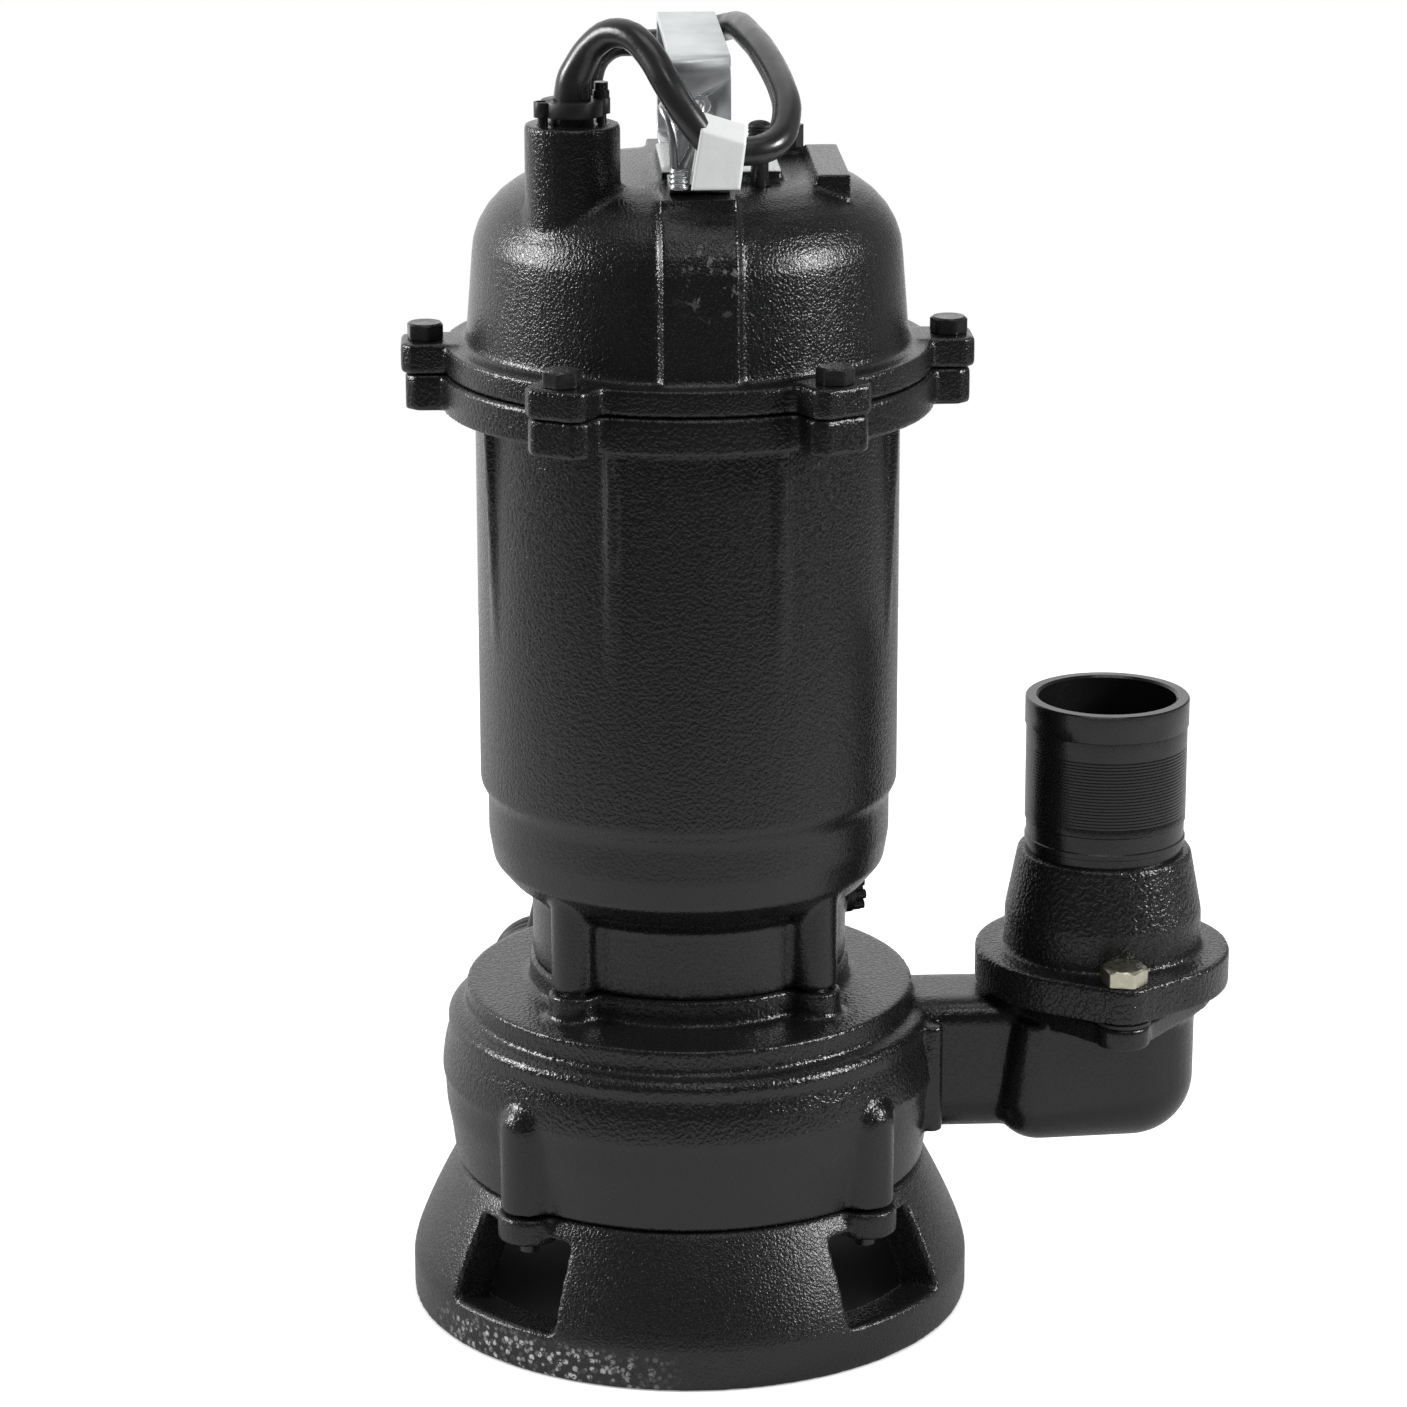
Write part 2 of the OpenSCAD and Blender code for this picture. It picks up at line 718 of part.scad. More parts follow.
module volute_casing() {
    color(enamel) on_axis() difference() {
        union() {
            rotate_extrude() casing_profile();
            at_columns() {
                disc(column_r, base_h + face_gap, base_h + column_h - column_r);
                translate([0, 0, base_h + column_h - column_r]) sphere(r = column_r);
            }
            disc(neck_r + 1, casing_top - 1, joint_z);
            at_neck_columns() disc(neck_column_r + 1, casing_top - 1, joint_z - face_gap);
            arm();
            elbow_body();
            at_outlet() elbow_flange(elbow_flange_z, outlet_joint);
            for (s = [-1, 1]) translate([casing_r - 3, s * (arm_half_w + 4.5), 0])
                disc(post_corner_r, arm_floor + 5, arm_top - 5);
        }
        disc(chamber_r, base_h - eps, roof_z);
        scroll_cutter();
        outlet_passage();
        disc(hub_hole_r, roof_z - eps, seal_floor + eps);
        disc(seal_bore_r, seal_floor, joint_z + eps);
        ring(oil_r + 5, oil_r + 2, joint_z - base_seal_h, joint_z + eps);
        at_columns() disc(stud_r, base_h - eps, base_h + stud_l - lug_h - stud_tail + 3);
        at_neck_columns() {
            disc(neck_screw_r + clear, roof_z - eps, joint_z + eps);
            disc(neck_head_r + clear, roof_z - eps, roof_z + neck_head_h + 1);
        }
        at_outlet_bolts() disc(outlet_screw_r, elbow_flange_z - eps, outlet_joint + eps);
    }
}

module neck_seal() {
    color(rubber) on_axis() ring(oil_r + 5, oil_r + 2, joint_z - base_seal_h, joint_z);
}

module neck_bolts() {
    color(steel) on_axis() at_neck_columns() difference() {
        union() {
            disc(neck_head_r, roof_z + 1, roof_z + 1 + neck_head_h);
            disc(neck_screw_r, roof_z + neck_head_h, joint_z + neck_screw_up);
        }
        hex(6, roof_z, roof_z + 5);
    }
}

// ---------- Hose spigot ----------

module spigot_profile() {
    cone_top = spigot_flange_top + 31.5;
    lip_z = spigot_top - lip_h;
    groove_z = cone_top + 12;
    polygon(concat(
        [[spigot_bore_r, gasket_top], [30.5, gasket_top], [30.2, spigot_flange_top + 12], [26.5, cone_top],
            [spigot_r - 0.4, cone_top], [spigot_r - 0.4, cone_top + 9.5], [spigot_r, cone_top + 9.5]],
        [for (i = [0 : groove_count - 1], k = [0 : 2])
            let (z = groove_z + i * groove_pitch)
                [[spigot_r, z], [spigot_r - groove_depth, z + 0.4], [spigot_r, z + 0.8]][k]],
        [[spigot_r, lip_z], [hose_r, lip_z], [hose_r, spigot_top - 0.8], [hose_r - 0.8, spigot_top],
            [spigot_bore_r, spigot_top]]
    ));
}

module spigot() {
    color(enamel) on_axis() difference() {
        union() {
            translate([outlet_x, 0, 0]) rotate_extrude() spigot_profile();
            difference() {
                at_outlet() outlet_flange(outlet_flange_r, gasket_top, spigot_flange_top);
                translate([outlet_x, 0, 0]) disc(spigot_bore_r, gasket_top - eps, spigot_flange_top + eps);
            }
        }
        at_outlet_bolts() disc(outlet_screw_r + clear, gasket_top - eps, spigot_flange_top + eps);
    }
}

module spigot_gasket() {
    color(rubber) on_axis() difference() {
        at_outlet() elbow_flange(outlet_joint, gasket_top);
        translate([outlet_x, 0, 0]) disc(spigot_bore_r, outlet_joint - eps, gasket_top + eps);
        at_outlet_bolts() disc(outlet_screw_r + clear, outlet_joint - eps, gasket_top + eps);
    }
}

module spigot_bolts() {
    color(bolt_zinc) on_axis() at_outlet_bolts() {
        hex(outlet_head_af, spigot_flange_top, spigot_flange_top + outlet_head_h);
        disc(outlet_screw_r, elbow_flange_z + 1, spigot_flange_top + 1);
    }
}

// ---------- Motor housing ----------

module housing_profile() {
    polygon([
        [0, joint_z], [neck_r, joint_z], [neck_r, neck_top], [neck_r + 6.6, neck_top + 4.5],
        [low_r - 1.4, neck_top + 10.5], [low_r, neck_top + 19], [low_r, step_z], [body_r, step_z + step_h],
        [body_r, flange_z], [flange_r, flange_z], [flange_r, housing_top], [0, housing_top]
    ]);
}

module housing_cavity() {
    floor_z = low_bearing_z;
    boss_top = low_bearing_z + low_bearing_w;
    boss_r = low_bearing_r + pocket_wall;
    rotate_extrude() polygon([
        [0, boss_top], [boss_r, boss_top], [boss_r, floor_z], [ledge_r - 10, floor_z],
        [ledge_r - 4, floor_z + 3], [ledge_r, floor_z + 10], [ledge_r, stack_z], [bore_r, stack_z],
        [bore_r, bracket_z],
        [recess_r, bracket_z], [recess_r, housing_top + eps], [0, housing_top + eps]
    ]);
}

module cooling_rib() {
    rib_top = flange_z + 1;
    root = body_r - 3;
    rotate([90, 0, 0]) translate([0, 0, -rib_w / 2]) linear_extrude(rib_w) polygon([
        [root, flange_z - rib_h - 3], [body_r, flange_z - rib_h], [body_r + rib_out, rib_top], [root, rib_top]
    ]);
}

module flange_lug(reach, z0, z1) {
    half = lug_w / 2;
    translate([0, 0, z0]) linear_extrude(z1 - z0) polygon([
        [recess_r + 8, -half], [reach - lug_chamfer, -half], [reach, lug_chamfer - half],
        [reach, half - lug_chamfer], [reach - lug_chamfer, half], [recess_r + 8, half]
    ]);
}

module oil_plug_place() {
    rotate([0, 0, oil_plug_turn]) translate([neck_r, 0, oil_plug_z]) rotate([0, 90, 0]) children();
}

module motor_housing() {
    color(enamel) on_axis() difference() {
        union() {
            rotate_extrude() housing_profile();
            at_neck_columns() disc(neck_column_r, joint_z + face_gap, neck_top + 12);
            for (i = [0 : rib_count - 1]) rotate([0, 0, (i + 0.5) * 360 / rib_count]) cooling_rib();
            at_lugs() flange_lug(lug_pitch_r + lug_out, flange_z, housing_top);
            oil_plug_place() disc(8, -6, 1.5);
        }
        housing_cavity();
        disc(low_bearing_r, low_bearing_z, low_bearing_z + low_bearing_w + eps);
        disc(shaft_hole_r, lip_seal_z, low_bearing_z + eps);
        disc(lip_seal_r, lip_seal_z, lip_seal_z + lip_seal_h);
        disc(oil_r, joint_z - eps, lip_seal_z + eps / 2);
        ring(cover_seal_r + cover_seal_w, cover_seal_r, housing_top - cover_seal_h, housing_top + eps);
        at_neck_columns() disc(neck_screw_r, joint_z - eps, joint_z + neck_screw_up + 2);
        at_lugs() translate([lug_pitch_r, 0, 0]) disc(flange_screw_r, flange_z - eps, housing_top + eps);
        oil_plug_place() disc(oil_plug_r, -12, 2);
    }
}

module oil_plug() {
    color(rubber) on_axis() oil_plug_place() {
        disc(oil_plug_r, -7, 2.5);
        disc(6.8, 2.5, 4);
        for (i = [0 : 7]) rotate([0, 0, i * 45]) translate([5.2, 0, 0]) disc(1.5, 3.5, 7.5);
        disc(5.4, 3.5, 7);
    }
}

module oil_plug_washer() {
    color(rubber) on_axis() oil_plug_place() ring(6.6, oil_plug_r, 1.5, 2.5);
}

// ---------- Top cover ----------

function crown_points(r_in, rise, out) = [
    for (i = [0 : dome_steps])
        let (a = 90 * i / dome_steps)
            [r_in + (dome_crown_r + out) * cos(a), dome_crown_z + (rise + out) * sin(a)]
];

module cover_profile() {
    core = dome_shoulder_r - dome_crown_r;
    polygon(concat(
        [[0, housing_top], [flange_r - 1, housing_top], [flange_r - 1, cover_flange_top],
            [dome_foot_r, cover_flange_top], [dome_foot_r - 0.9, cover_flange_top + 11]],
        crown_points(core, dome_crown_h, 0),
        [[0, cover_top]]
    ));
}

module cover_cavity() {
    core = dome_shoulder_r - dome_crown_r;
    inner_foot = dome_foot_r - cover_wall - 1;
    rotate_extrude() polygon(concat(
        [[0, housing_top - 4], [ledge_r, housing_top - 4], [ledge_r, housing_top + 2],
            [inner_foot, cover_flange_top + 1]],
        crown_points(core, dome_crown_h, -cover_wall),
        [[0, cover_top - cover_wall]]
    ));
}

// The raised panel up the front and back of the dome, which carries the handle's feet
module pilaster() {
    core = dome_shoulder_r - dome_crown_r;
    side = pilaster_x - pilaster_w / 2;
    rotate([90, 0, 90]) translate([0, 0, side]) linear_extrude(pilaster_w) polygon(concat(
        [[30, cover_flange_top - 1], [dome_foot_r + pilaster_proud, cover_flange_top - 1]],
        [for (p = crown_points(core, dome_crown_h, pilaster_proud)) if (p[1] < cover_top - 1) p],
        [[core + 16, cover_top], [30, cover_top]]
    ));
}

module top_cover() {
    color(enamel) on_axis() difference() {
        union() {
            rotate_extrude() cover_profile();
            ring(recess_r - slip, ledge_r, bracket_z + bracket_t, housing_top + 1);
            at_lugs() flange_lug(lug_pitch_r + lug_out + 1.3, housing_top, cover_flange_top + cover_lug_rise);
            pilaster();
            mirror([0, 1, 0]) pilaster();
            box(pad_x0, pad_x1, -pad_half_y, pad_half_y, cover_top - 3, cover_top + pad_h);
            box(block_x0, block_x1, block_y0, block_y1, dome_crown_z, cover_top + block_h);
            translate([gland_x, gland_y, 0]) disc(gland_boss_r, dome_crown_z, gland_top);
            translate([vent_x, vent_y, 0]) disc(vent_r + 2, cover_top - 12, cover_top + 1);
        }
        cover_cavity();
        at_lugs() translate([lug_pitch_r, 0, 0])
            disc(flange_screw_r + clear, housing_top - eps, cover_flange_top + 2);
        translate([gland_x, gland_y, 0]) {
            disc(gland_hole_r, dome_crown_z, gland_top);
            disc(gland_pocket_r, gland_top - gland_pocket_h, gland_top + eps);
            at_gland_screws() disc(gland_screw_r, gland_top - 10, gland_top + eps);
        }
        for (s = [-1, 1]) translate([strap_x, s * handle_screw_y, 0])
            disc(handle_screw_r, cover_top - 12, cover_top + eps);
        translate([post_x, post_y, 0]) disc(2, cover_top - 5, cover_top + eps);
        translate([vent_x, vent_y, 0]) disc(3, cover_top - 15, cover_top + 2);
    }
}

module cover_seal() {
    color(rubber) on_axis()
        ring(cover_seal_r + cover_seal_w, cover_seal_r, housing_top - cover_seal_h, housing_top);
}

module cover_bolts() {
    seat = cover_flange_top + cover_lug_rise;
    color(enamel) on_axis() at_lugs() translate([lug_pitch_r, 0, 0]) {
        hex(flange_head_af, seat, seat + flange_head_h);
        disc(flange_screw_r, flange_z + 1, seat + 1);
    }
}

// ---------- Handle and small parts on the cover ----------

module strap_outline() {
    half = handle_span / 2;
    top = cover_top + handle_h;
    low = cover_top;
    r_out = strap_corner_r;
    r_in = strap_corner_r - strap_t;
    foot = half - foot_l;
    polygon(concat(
        [[foot, low]],
        arc_points(half - r_out, low + r_out, r_out, -90, 0, corner_steps),
        arc_points(half - r_out, top - r_out, r_out, 0, 90, corner_steps),
        arc_points(r_out - half, top - r_out, r_out, 90, 180, corner_steps),
        arc_points(r_out - half, low + r_out, r_out, 180, 270, corner_steps),
        [[-foot, low], [-foot, low + strap_t]],
        arc_points(r_out - half, low + r_out, r_in, 270, 180, corner_steps),
        arc_points(r_out - half, top - r_out, r_in, 180, 90, corner_steps),
        arc_points(half - r_out, top - r_out, r_in, 90, 0, corner_steps),
        arc_points(half - r_out, low + r_out, r_in, 0, -90, corner_steps),
        [[foot, low + strap_t]]
    ));
}

module handle() {
    color(zinc) on_axis() difference() {
        rotate([90, 0, 90]) translate([0, 0, strap_x - strap_w / 2]) linear_extrude(strap_w) strap_outline();
        for (s = [-1, 1]) translate([strap_x, s * handle_screw_y, 0])
            disc(handle_screw_r + clear, cover_top - eps, cover_top + strap_t + eps);
        translate([strap_x, 0, strap_hole_z]) rotate([90, 0, 0])
            cylinder(r = strap_hole_r, h = handle_span + 2, center = true);
    }
}

module handle_bolts() {
    seat = cover_top + strap_t;
    color(enamel) on_axis() for (s = [-1, 1]) translate([strap_x, s * handle_screw_y, 0]) {
        hex(flange_head_af, seat + 1.6, seat + handle_head_h);
        disc(6, seat, seat + 1.6);
        disc(handle_screw_r, cover_top - 12, seat + 1);
    }
}

module cap_stud() {
    color(steel) on_axis() translate([post_x, post_y, 0]) {
        disc(2, cover_top - 5, cover_top + 1);
        disc(post_r, cover_top, cover_top + post_h - post_cap_h);
    }
}

module stud_cap() {
    color(rubber) on_axis() translate([post_x, post_y, 0])
        disc(post_cap_r, cover_top + post_h - post_cap_h, cover_top + post_h);
}

module vent_plug() {
    color(enamel) on_axis() translate([vent_x, vent_y, 0]) {
        hex(2 * vent_r, cover_top + 1, cover_top + vent_h);
        disc(3, cover_top - 10, cover_top + 2);
    }
}

module seal_ferrule() {
    color(zinc) on_axis() translate([ferrule_x, ferrule_y, ferrule_z])
        cylinder(r = ferrule_r, h = ferrule_h);
}

module seal_wire() {
    color(steel) on_axis() tube(WIRE_ROUTE, wire_r, 8);
}

module cord_band() {
    top = [BAND_OUTLINE[0] - [0, band_top], BAND_OUTLINE[1] - [0, band_top]];
    slope = (top[1] - top[0]) / norm(top[1] - top[0]);
    depth = band_y1 - band_y0;
    color(label_white) on_axis() difference() {
        translate([0, band_y1, cover_top]) rotate([90, 0, 0]) linear_extrude(depth) polygon(BAND_OUTLINE);
        translate([0, band_y1 - band_top, cover_top]) rotate([90, 0, 0]) linear_extrude(depth - 2 * band_top)
            polygon([
                top[0] - BAND_SIDE_CLEAR * slope, top[1] + BAND_SIDE_CLEAR * slope,
                [40, 0], [-30, 0]
            ]);
    }
}

// ---------- Cable gland ----------

module at_gland() {
    translate([gland_x, gland_y, 0]) children();
}

module at_gland_screws() {
    for (s = [-1, 1]) rotate([0, 0, gland_turn]) translate([s * gland_screw_at, 0, 0]) children();
}

module gland_seal() {
    floor_z = gland_top - gland_pocket_h;
    color(rubber) on_axis() at_gland() ring(gland_pocket_r, cord_r, floor_z, floor_z + gland_seal_h);
}

module gland_washer() {
    z = gland_top - gland_pocket_h + gland_seal_h;
    color(steel) on_axis() at_gland() ring(gland_pocket_r - slip, cord_r + clear, z, z + gland_washer_h);
}

module gland_plate() {
    foot = gland_top - gland_pocket_h + gland_seal_h + gland_washer_h;
    plate = gland_top + gland_lift;
    plate_top = plate + gland_plate_t;
    bar = gland_lug_r - 0.1;
    color(plastic) on_axis() at_gland() difference() {
        union() {
            disc(gland_pocket_r - slip, foot, plate + 1);
            disc(gland_plate_r, plate, plate_top);
            at_gland_screws() disc(gland_lug_r, plate, plate_top);
            rotate([0, 0, gland_turn]) box(-gland_screw_at, gland_screw_at, -bar, bar, plate, plate_top);
        }
        disc(cord_r + clear, foot - eps, plate_top + eps);
        at_gland_screws() disc(gland_screw_r + clear, plate - eps, plate_top + eps);
    }
}

// One screw is cut off flush, the other stands up with its head clear of the plate
module gland_screws() {
    seat = gland_top + gland_lift + gland_plate_t;
    color(enamel) on_axis() at_gland() rotate([0, 0, gland_turn]) {
        translate([-gland_screw_at, 0, 0]) disc(gland_screw_r, gland_top - 9, seat - 0.4);
        translate([gland_screw_at, 0, 0]) {
            disc(gland_screw_r, gland_top - 9, seat + gland_long_screw);
            disc(gland_screw_r + 0.9, seat, seat + 2.2);
            disc(gland_screw_r + 0.5, seat + gland_long_screw - 3.6, seat + gland_long_screw);
        }
    }
}

// ---------- Mains cord ----------

function layer_of(t) = min(coil_layers - 1, floor(t / (coil_turns + climb_turns)));
function coil_point(t) =
    let (
        layer = layer_of(t),
        s = t - layer * (coil_turns + climb_turns),
        inward = layer % 2 == 0,
        wound = min(s / coil_turns, 1),
        climb = max(0, (s - coil_turns) / climb_turns),
        end_r = inward ? coil_in_r : coil_out_r,
        start_r = inward ? coil_out_r : coil_in_r,
        swell = (inward ? -1 : 1) * climb_swell * sin(180 * climb),
        r = start_r + (end_r - start_r) * wound + swell,
        a = 360 * t - 90
    )
    [r * cos(a), coil_y + r * sin(a), coil_z + (layer + climb) * coil_pitch];

total_turns = coil_layers * coil_turns + (coil_layers - 1) * climb_turns;
COIL_PATH = concat(
    [coil_point(0) - [coil_lead, 0, 0]],
    [for (i = [0 : total_turns * coil_rings]) coil_point(i / coil_rings)],
    [coil_point(total_turns) - [coil_lead, 0, 0]]
);
near_turns = floor(coil_rings / 2);
coil_gap = min([
    for (i = [0 : len(COIL_PATH) - 1], j = [i + near_turns : len(COIL_PATH) - 1])
        if (j > i) norm(COIL_PATH[i] - COIL_PATH[j])
]) - cord_d;
cord_length = total([for (p = [CORD_ROUTE, COIL_PATH, TAIL_ROUTE]) path_length(p)]);
echo(coil_gap = coil_gap, cord_length = cord_length);

module cord_inlet() {
    color(rubber) on_axis() at_gland() disc(cord_r, housing_top + terminal_h - 3, CORD_ROUTE[0][2]);
}

module power_cord() {
    color(rubber) on_axis() tube(CORD_ROUTE, cord_r, cord_sides);
}

module cord_coil() {
    color(rubber) on_axis() tube(COIL_PATH, cord_r, coil_sides);
}

module cord_tail() {
    color(rubber) on_axis() tube(TAIL_ROUTE, cord_r, cord_sides);
}

module at_plug() {
    translate(TAIL_ROUTE[len(TAIL_ROUTE) - 1]) rotate([90, 0, 0]) children();
}

module plug_body() {
    color(rubber) on_axis() at_plug() rotate_extrude() polygon([
        [0, 0], [cord_r + 1, 0], [cord_r + 2.8, relief_l], [plug_r - 5, relief_l],
        [plug_r - 1.5, relief_l + 7], [plug_r - 1.5, plug_l - 18], [plug_r, plug_l - 17],
        [plug_r, plug_l - 1], [plug_r - 1, plug_l], [0, plug_l]
    ]);
}

module plug_pins() {
    color(zinc) on_axis() at_plug() for (s = [-1, 1]) translate([s * pin_at, 0, 0])
        disc(pin_r, plug_l, plug_l + pin_l);
}

// ---------- Motor, fixed pieces ----------

module at_slots() {
    for (i = [0 : slot_count - 1]) rotate([0, 0, i * 360 / slot_count]) children();
}

module stator_core() {
    color(steel) on_axis() difference() {
        ring(bore_r, stator_bore_r, stack_z, stack_z + stack_l);
        at_slots() {
            box(slot_r, slot_r + slot_l, -slot_w / 2, slot_w / 2, stack_z - eps, stack_z + stack_l + eps);
            box(stator_bore_r - 1, slot_r + 1, -1, 1, stack_z - eps, stack_z + stack_l + eps);
        }
    }
}

module stator_windings() {
    inner = slot_r - 1;
    outer = slot_r + slot_l;
    color(copper) on_axis() {
        ring(outer, inner, stack_z - winding_l, stack_z);
        ring(outer, inner, stack_z + stack_l, stack_z + stack_l + winding_l);
        at_slots() box(slot_r + 0.3, outer - 0.3, 0.3 - slot_w / 2, slot_w / 2 - 0.3,
            stack_z - 1, stack_z + stack_l + 1);
    }
}

module thermal_switch() {
    color(plastic) on_axis() rotate([0, 0, 60]) translate([slot_r + slot_l / 2, 0, 0])
        disc(5, stack_z + stack_l + winding_l, stack_z + stack_l + winding_l + 4);
}

module motor_leads() {
    color(copper) on_axis() for (a = [201, 205, 209]) rotate([0, 0, a]) translate([wire_hole_at, 0, 0])
        disc(lead_r, stack_z + stack_l + winding_l, bracket_z + bracket_t);
}

module terminal_block() {
    z0 = bracket_z + bracket_t;
    color(plastic) on_axis() difference() {
        box(terminal_x0, terminal_x1, terminal_y0, terminal_y0 + 2 * block_half_y, z0, z0 + terminal_h);
        for (i = [0 : 2]) translate([(terminal_x0 + terminal_x1) / 2, terminal_y0 + 13 + i * 5, 0])
            disc(1.6, z0 + 5, z0 + terminal_h + eps);
    }
}

module capacitor() {
    color(zinc) on_axis() translate([capacitor_x, 0, capacitor_z]) rotate([90, 0, 0])
        cylinder(r = capacitor_r, h = capacitor_l, center = true);
}

module capacitor_clip() {
    foot = housing_top;
    color(steel) on_axis() difference() {
        union() {
            translate([capacitor_x, 0, capacitor_z]) rotate([90, 0, 0])
                cylinder(r = capacitor_r + clip_t, h = clip_w, center = true);
            box(capacitor_x - 6, bracket_hub_r - 1, -clip_w / 2, clip_w / 2, foot,
                capacitor_z - capacitor_r + 2);
        }
        translate([capacitor_x, 0, capacitor_z]) rotate([90, 0, 0])
            cylinder(r = capacitor_r, h = capacitor_l, center = true);
    }
}

module bearing_bracket() {
    color(steel) on_axis() difference() {
        union() {
            disc(recess_r - slip, bracket_z, bracket_z + bracket_t);
            disc(bracket_hub_r, up_bearing_z - 1, housing_top);
        }
        disc(up_bearing_r, up_bearing_z - 1 - eps, up_bearing_top + wave_h);
        for (a = [25 : 90 : 300]) rotate([0, 0, a]) translate([wire_hole_at, 0, 0])
            disc(wire_hole_r, bracket_z - eps, bracket_z + bracket_t + eps);
    }
}

module wave_washer() {
    color(steel) on_axis()
        ring(up_bearing_r - slip, up_bearing_r - 3, up_bearing_top, up_bearing_top + wave_h);
}

module lip_seal() {
    color(rubber) on_axis() ring(lip_seal_r, shaft_r + run_gap, lip_seal_z, lip_seal_z + lip_seal_h);
}

// ---------- Bearings ----------

function ball_track(r_out, r_bore) = (r_out + r_bore) / 2;
function ball_radius(r_out, r_bore) = (r_out - r_bore) * 0.3;

module bearing_outer(r_out, r_bore, z, w) {
    track = ball_track(r_out, r_bore);
    ball = ball_radius(r_out, r_bore);
    difference() {
        ring(r_out, track + ball * 0.55, z, z + w);
        translate([0, 0, z + w / 2]) rotate_extrude()
            translate([track, 0]) circle(r = ball + run_gap, $fn = 40);
    }
}

module bearing_inner(r_out, r_bore, z, w) {
    track = ball_track(r_out, r_bore);
    ball = ball_radius(r_out, r_bore);
    difference() {
        ring(track - ball * 0.55, r_bore, z, z + w);
        translate([0, 0, z + w / 2]) rotate_extrude()
            translate([track, 0]) circle(r = ball + run_gap, $fn = 40);
    }
}

module bearing_cage(r_out, r_bore, z, w) {
    track = ball_track(r_out, r_bore);
    ball = ball_radius(r_out, r_bore);
    ring(track + ball * 0.35, track - ball * 0.35, z + w / 2 - ball * 0.8, z + w / 2 + ball * 0.8);
    for (i = [0 : ball_count - 1]) rotate([0, 0, i * 360 / ball_count])
        translate([track, 0, z + w / 2]) sphere(r = ball, $fn = 40);
}

module lower_bearing_outer() {
    color(steel) on_axis() bearing_outer(low_bearing_r, low_bore_r, low_bearing_z, low_bearing_w);
}

module lower_bearing_inner() {
    color(steel) on_axis() bearing_inner(low_bearing_r, low_bore_r, low_bearing_z, low_bearing_w);
}

module lower_bearing_cage() {
    color(bolt_zinc) on_axis() bearing_cage(low_bearing_r, low_bore_r, low_bearing_z, low_bearing_w);
}

module upper_bearing_outer() {
    color(steel) on_axis() bearing_outer(up_bearing_r, up_bore_r, up_bearing_z, up_bearing_w);
}

module upper_bearing_inner() {
    color(steel) on_axis() bearing_inner(up_bearing_r, up_bore_r, up_bearing_z, up_bearing_w);
}

module upper_bearing_cage() {
    color(bolt_zinc) on_axis() bearing_cage(up_bearing_r, up_bore_r, up_bearing_z, up_bearing_w);
}

// ---------- Rotor ----------

module shaft() {
    color(steel) on_axis() difference() {
        rotate_extrude() polygon([
            [0, thread_end], [thread_r, thread_end], [thread_r, hub_z - thrust_washer_h],
            [impeller_seat_r - 1, hub_z - thrust_washer_h], [impeller_seat_r - 1, hub_z],
            [impeller_seat_r, hub_z], [impeller_seat_r, hub_top], [shaft_r, hub_top],
            [shaft_r, low_bearing_z + low_bearing_w], [shaft_mid_r, low_bearing_z + low_bearing_w],
            [shaft_mid_r, up_bearing_z], [up_bore_r, up_bearing_z], [up_bore_r, up_bearing_top + 1],
            [0, up_bearing_top + 1]
        ]);
        box(impeller_seat_r - 3, impeller_seat_r + 1, -key_w / 2, key_w / 2, hub_z + 6, hub_top - 8);
    }
}

module rotor_core() {
    color(steel) on_axis() ring(rotor_r, shaft_mid_r, stack_z, stack_z + stack_l);
}

module rotor_end_rings() {
    color(zinc) on_axis() {
        ring(rotor_r - 2, rotor_r - 14, stack_z - end_ring_l, stack_z);
        ring(rotor_r - 2, rotor_r - 14, stack_z + stack_l, stack_z + stack_l + end_ring_l);
    }
}

module seal_seat() {
    color(label_white) on_axis() ring(seal_bore_r, shaft_r + 1.5, seal_floor, seat_top);
}

module seal_head() {
    color(plastic) on_axis() ring(head_r, shaft_r, head_z, head_z + head_h);
}

module seal_spring() {
    color(steel) on_axis() ring(spring_r, shaft_r + 1, spring_z, spring_top);
}

function vane_point(u, side) =
    let (
        r = vane_in_r + (impeller_r - 1 - vane_in_r) * u,
        a = -vane_sweep * u,
        lean = side * vane_t / 2 / r * 180 / PI
    )
    [r * cos(a + lean), r * sin(a + lean)];

module vane_outline() {
    polygon(concat(
        [for (i = [0 : vane_steps]) vane_point(i / vane_steps, -1)],
        [for (i = [vane_steps : -1 : 0]) vane_point(i / vane_steps, 1)]
    ));
}

module impeller() {
    color(bolt_zinc) on_axis() difference() {
        union() {
            disc(hub_r, hub_z, hub_top);
            disc(impeller_r, shroud_z, shroud_z + shroud_t);
            for (i = [0 : vane_count - 1]) rotate([0, 0, i * 360 / vane_count])
                translate([0, 0, vane_z]) linear_extrude(shroud_z - vane_z + 1) vane_outline();
        }
        disc(impeller_seat_r, hub_z - eps, hub_top + eps);
        box(0, impeller_seat_r + 2.5, -key_w / 2, key_w / 2, hub_z - eps, hub_top + eps);
    }
}

module impeller_key() {
    color(steel) on_axis()
        box(impeller_seat_r - 3, impeller_seat_r + 2.3, -key_w / 2, key_w / 2, hub_z + 6, hub_top - 8);
}

module impeller_washer() {
    color(steel) on_axis() ring(thrust_washer_r, impeller_seat_r - 1, hub_z - thrust_washer_h, hub_z);
}

module impeller_nut() {
    color(steel) on_axis() difference() {
        hex(nut_af, nut_z, nut_z + nut_h);
        disc(thread_r, nut_z - eps, nut_z + nut_h + eps);
    }
}

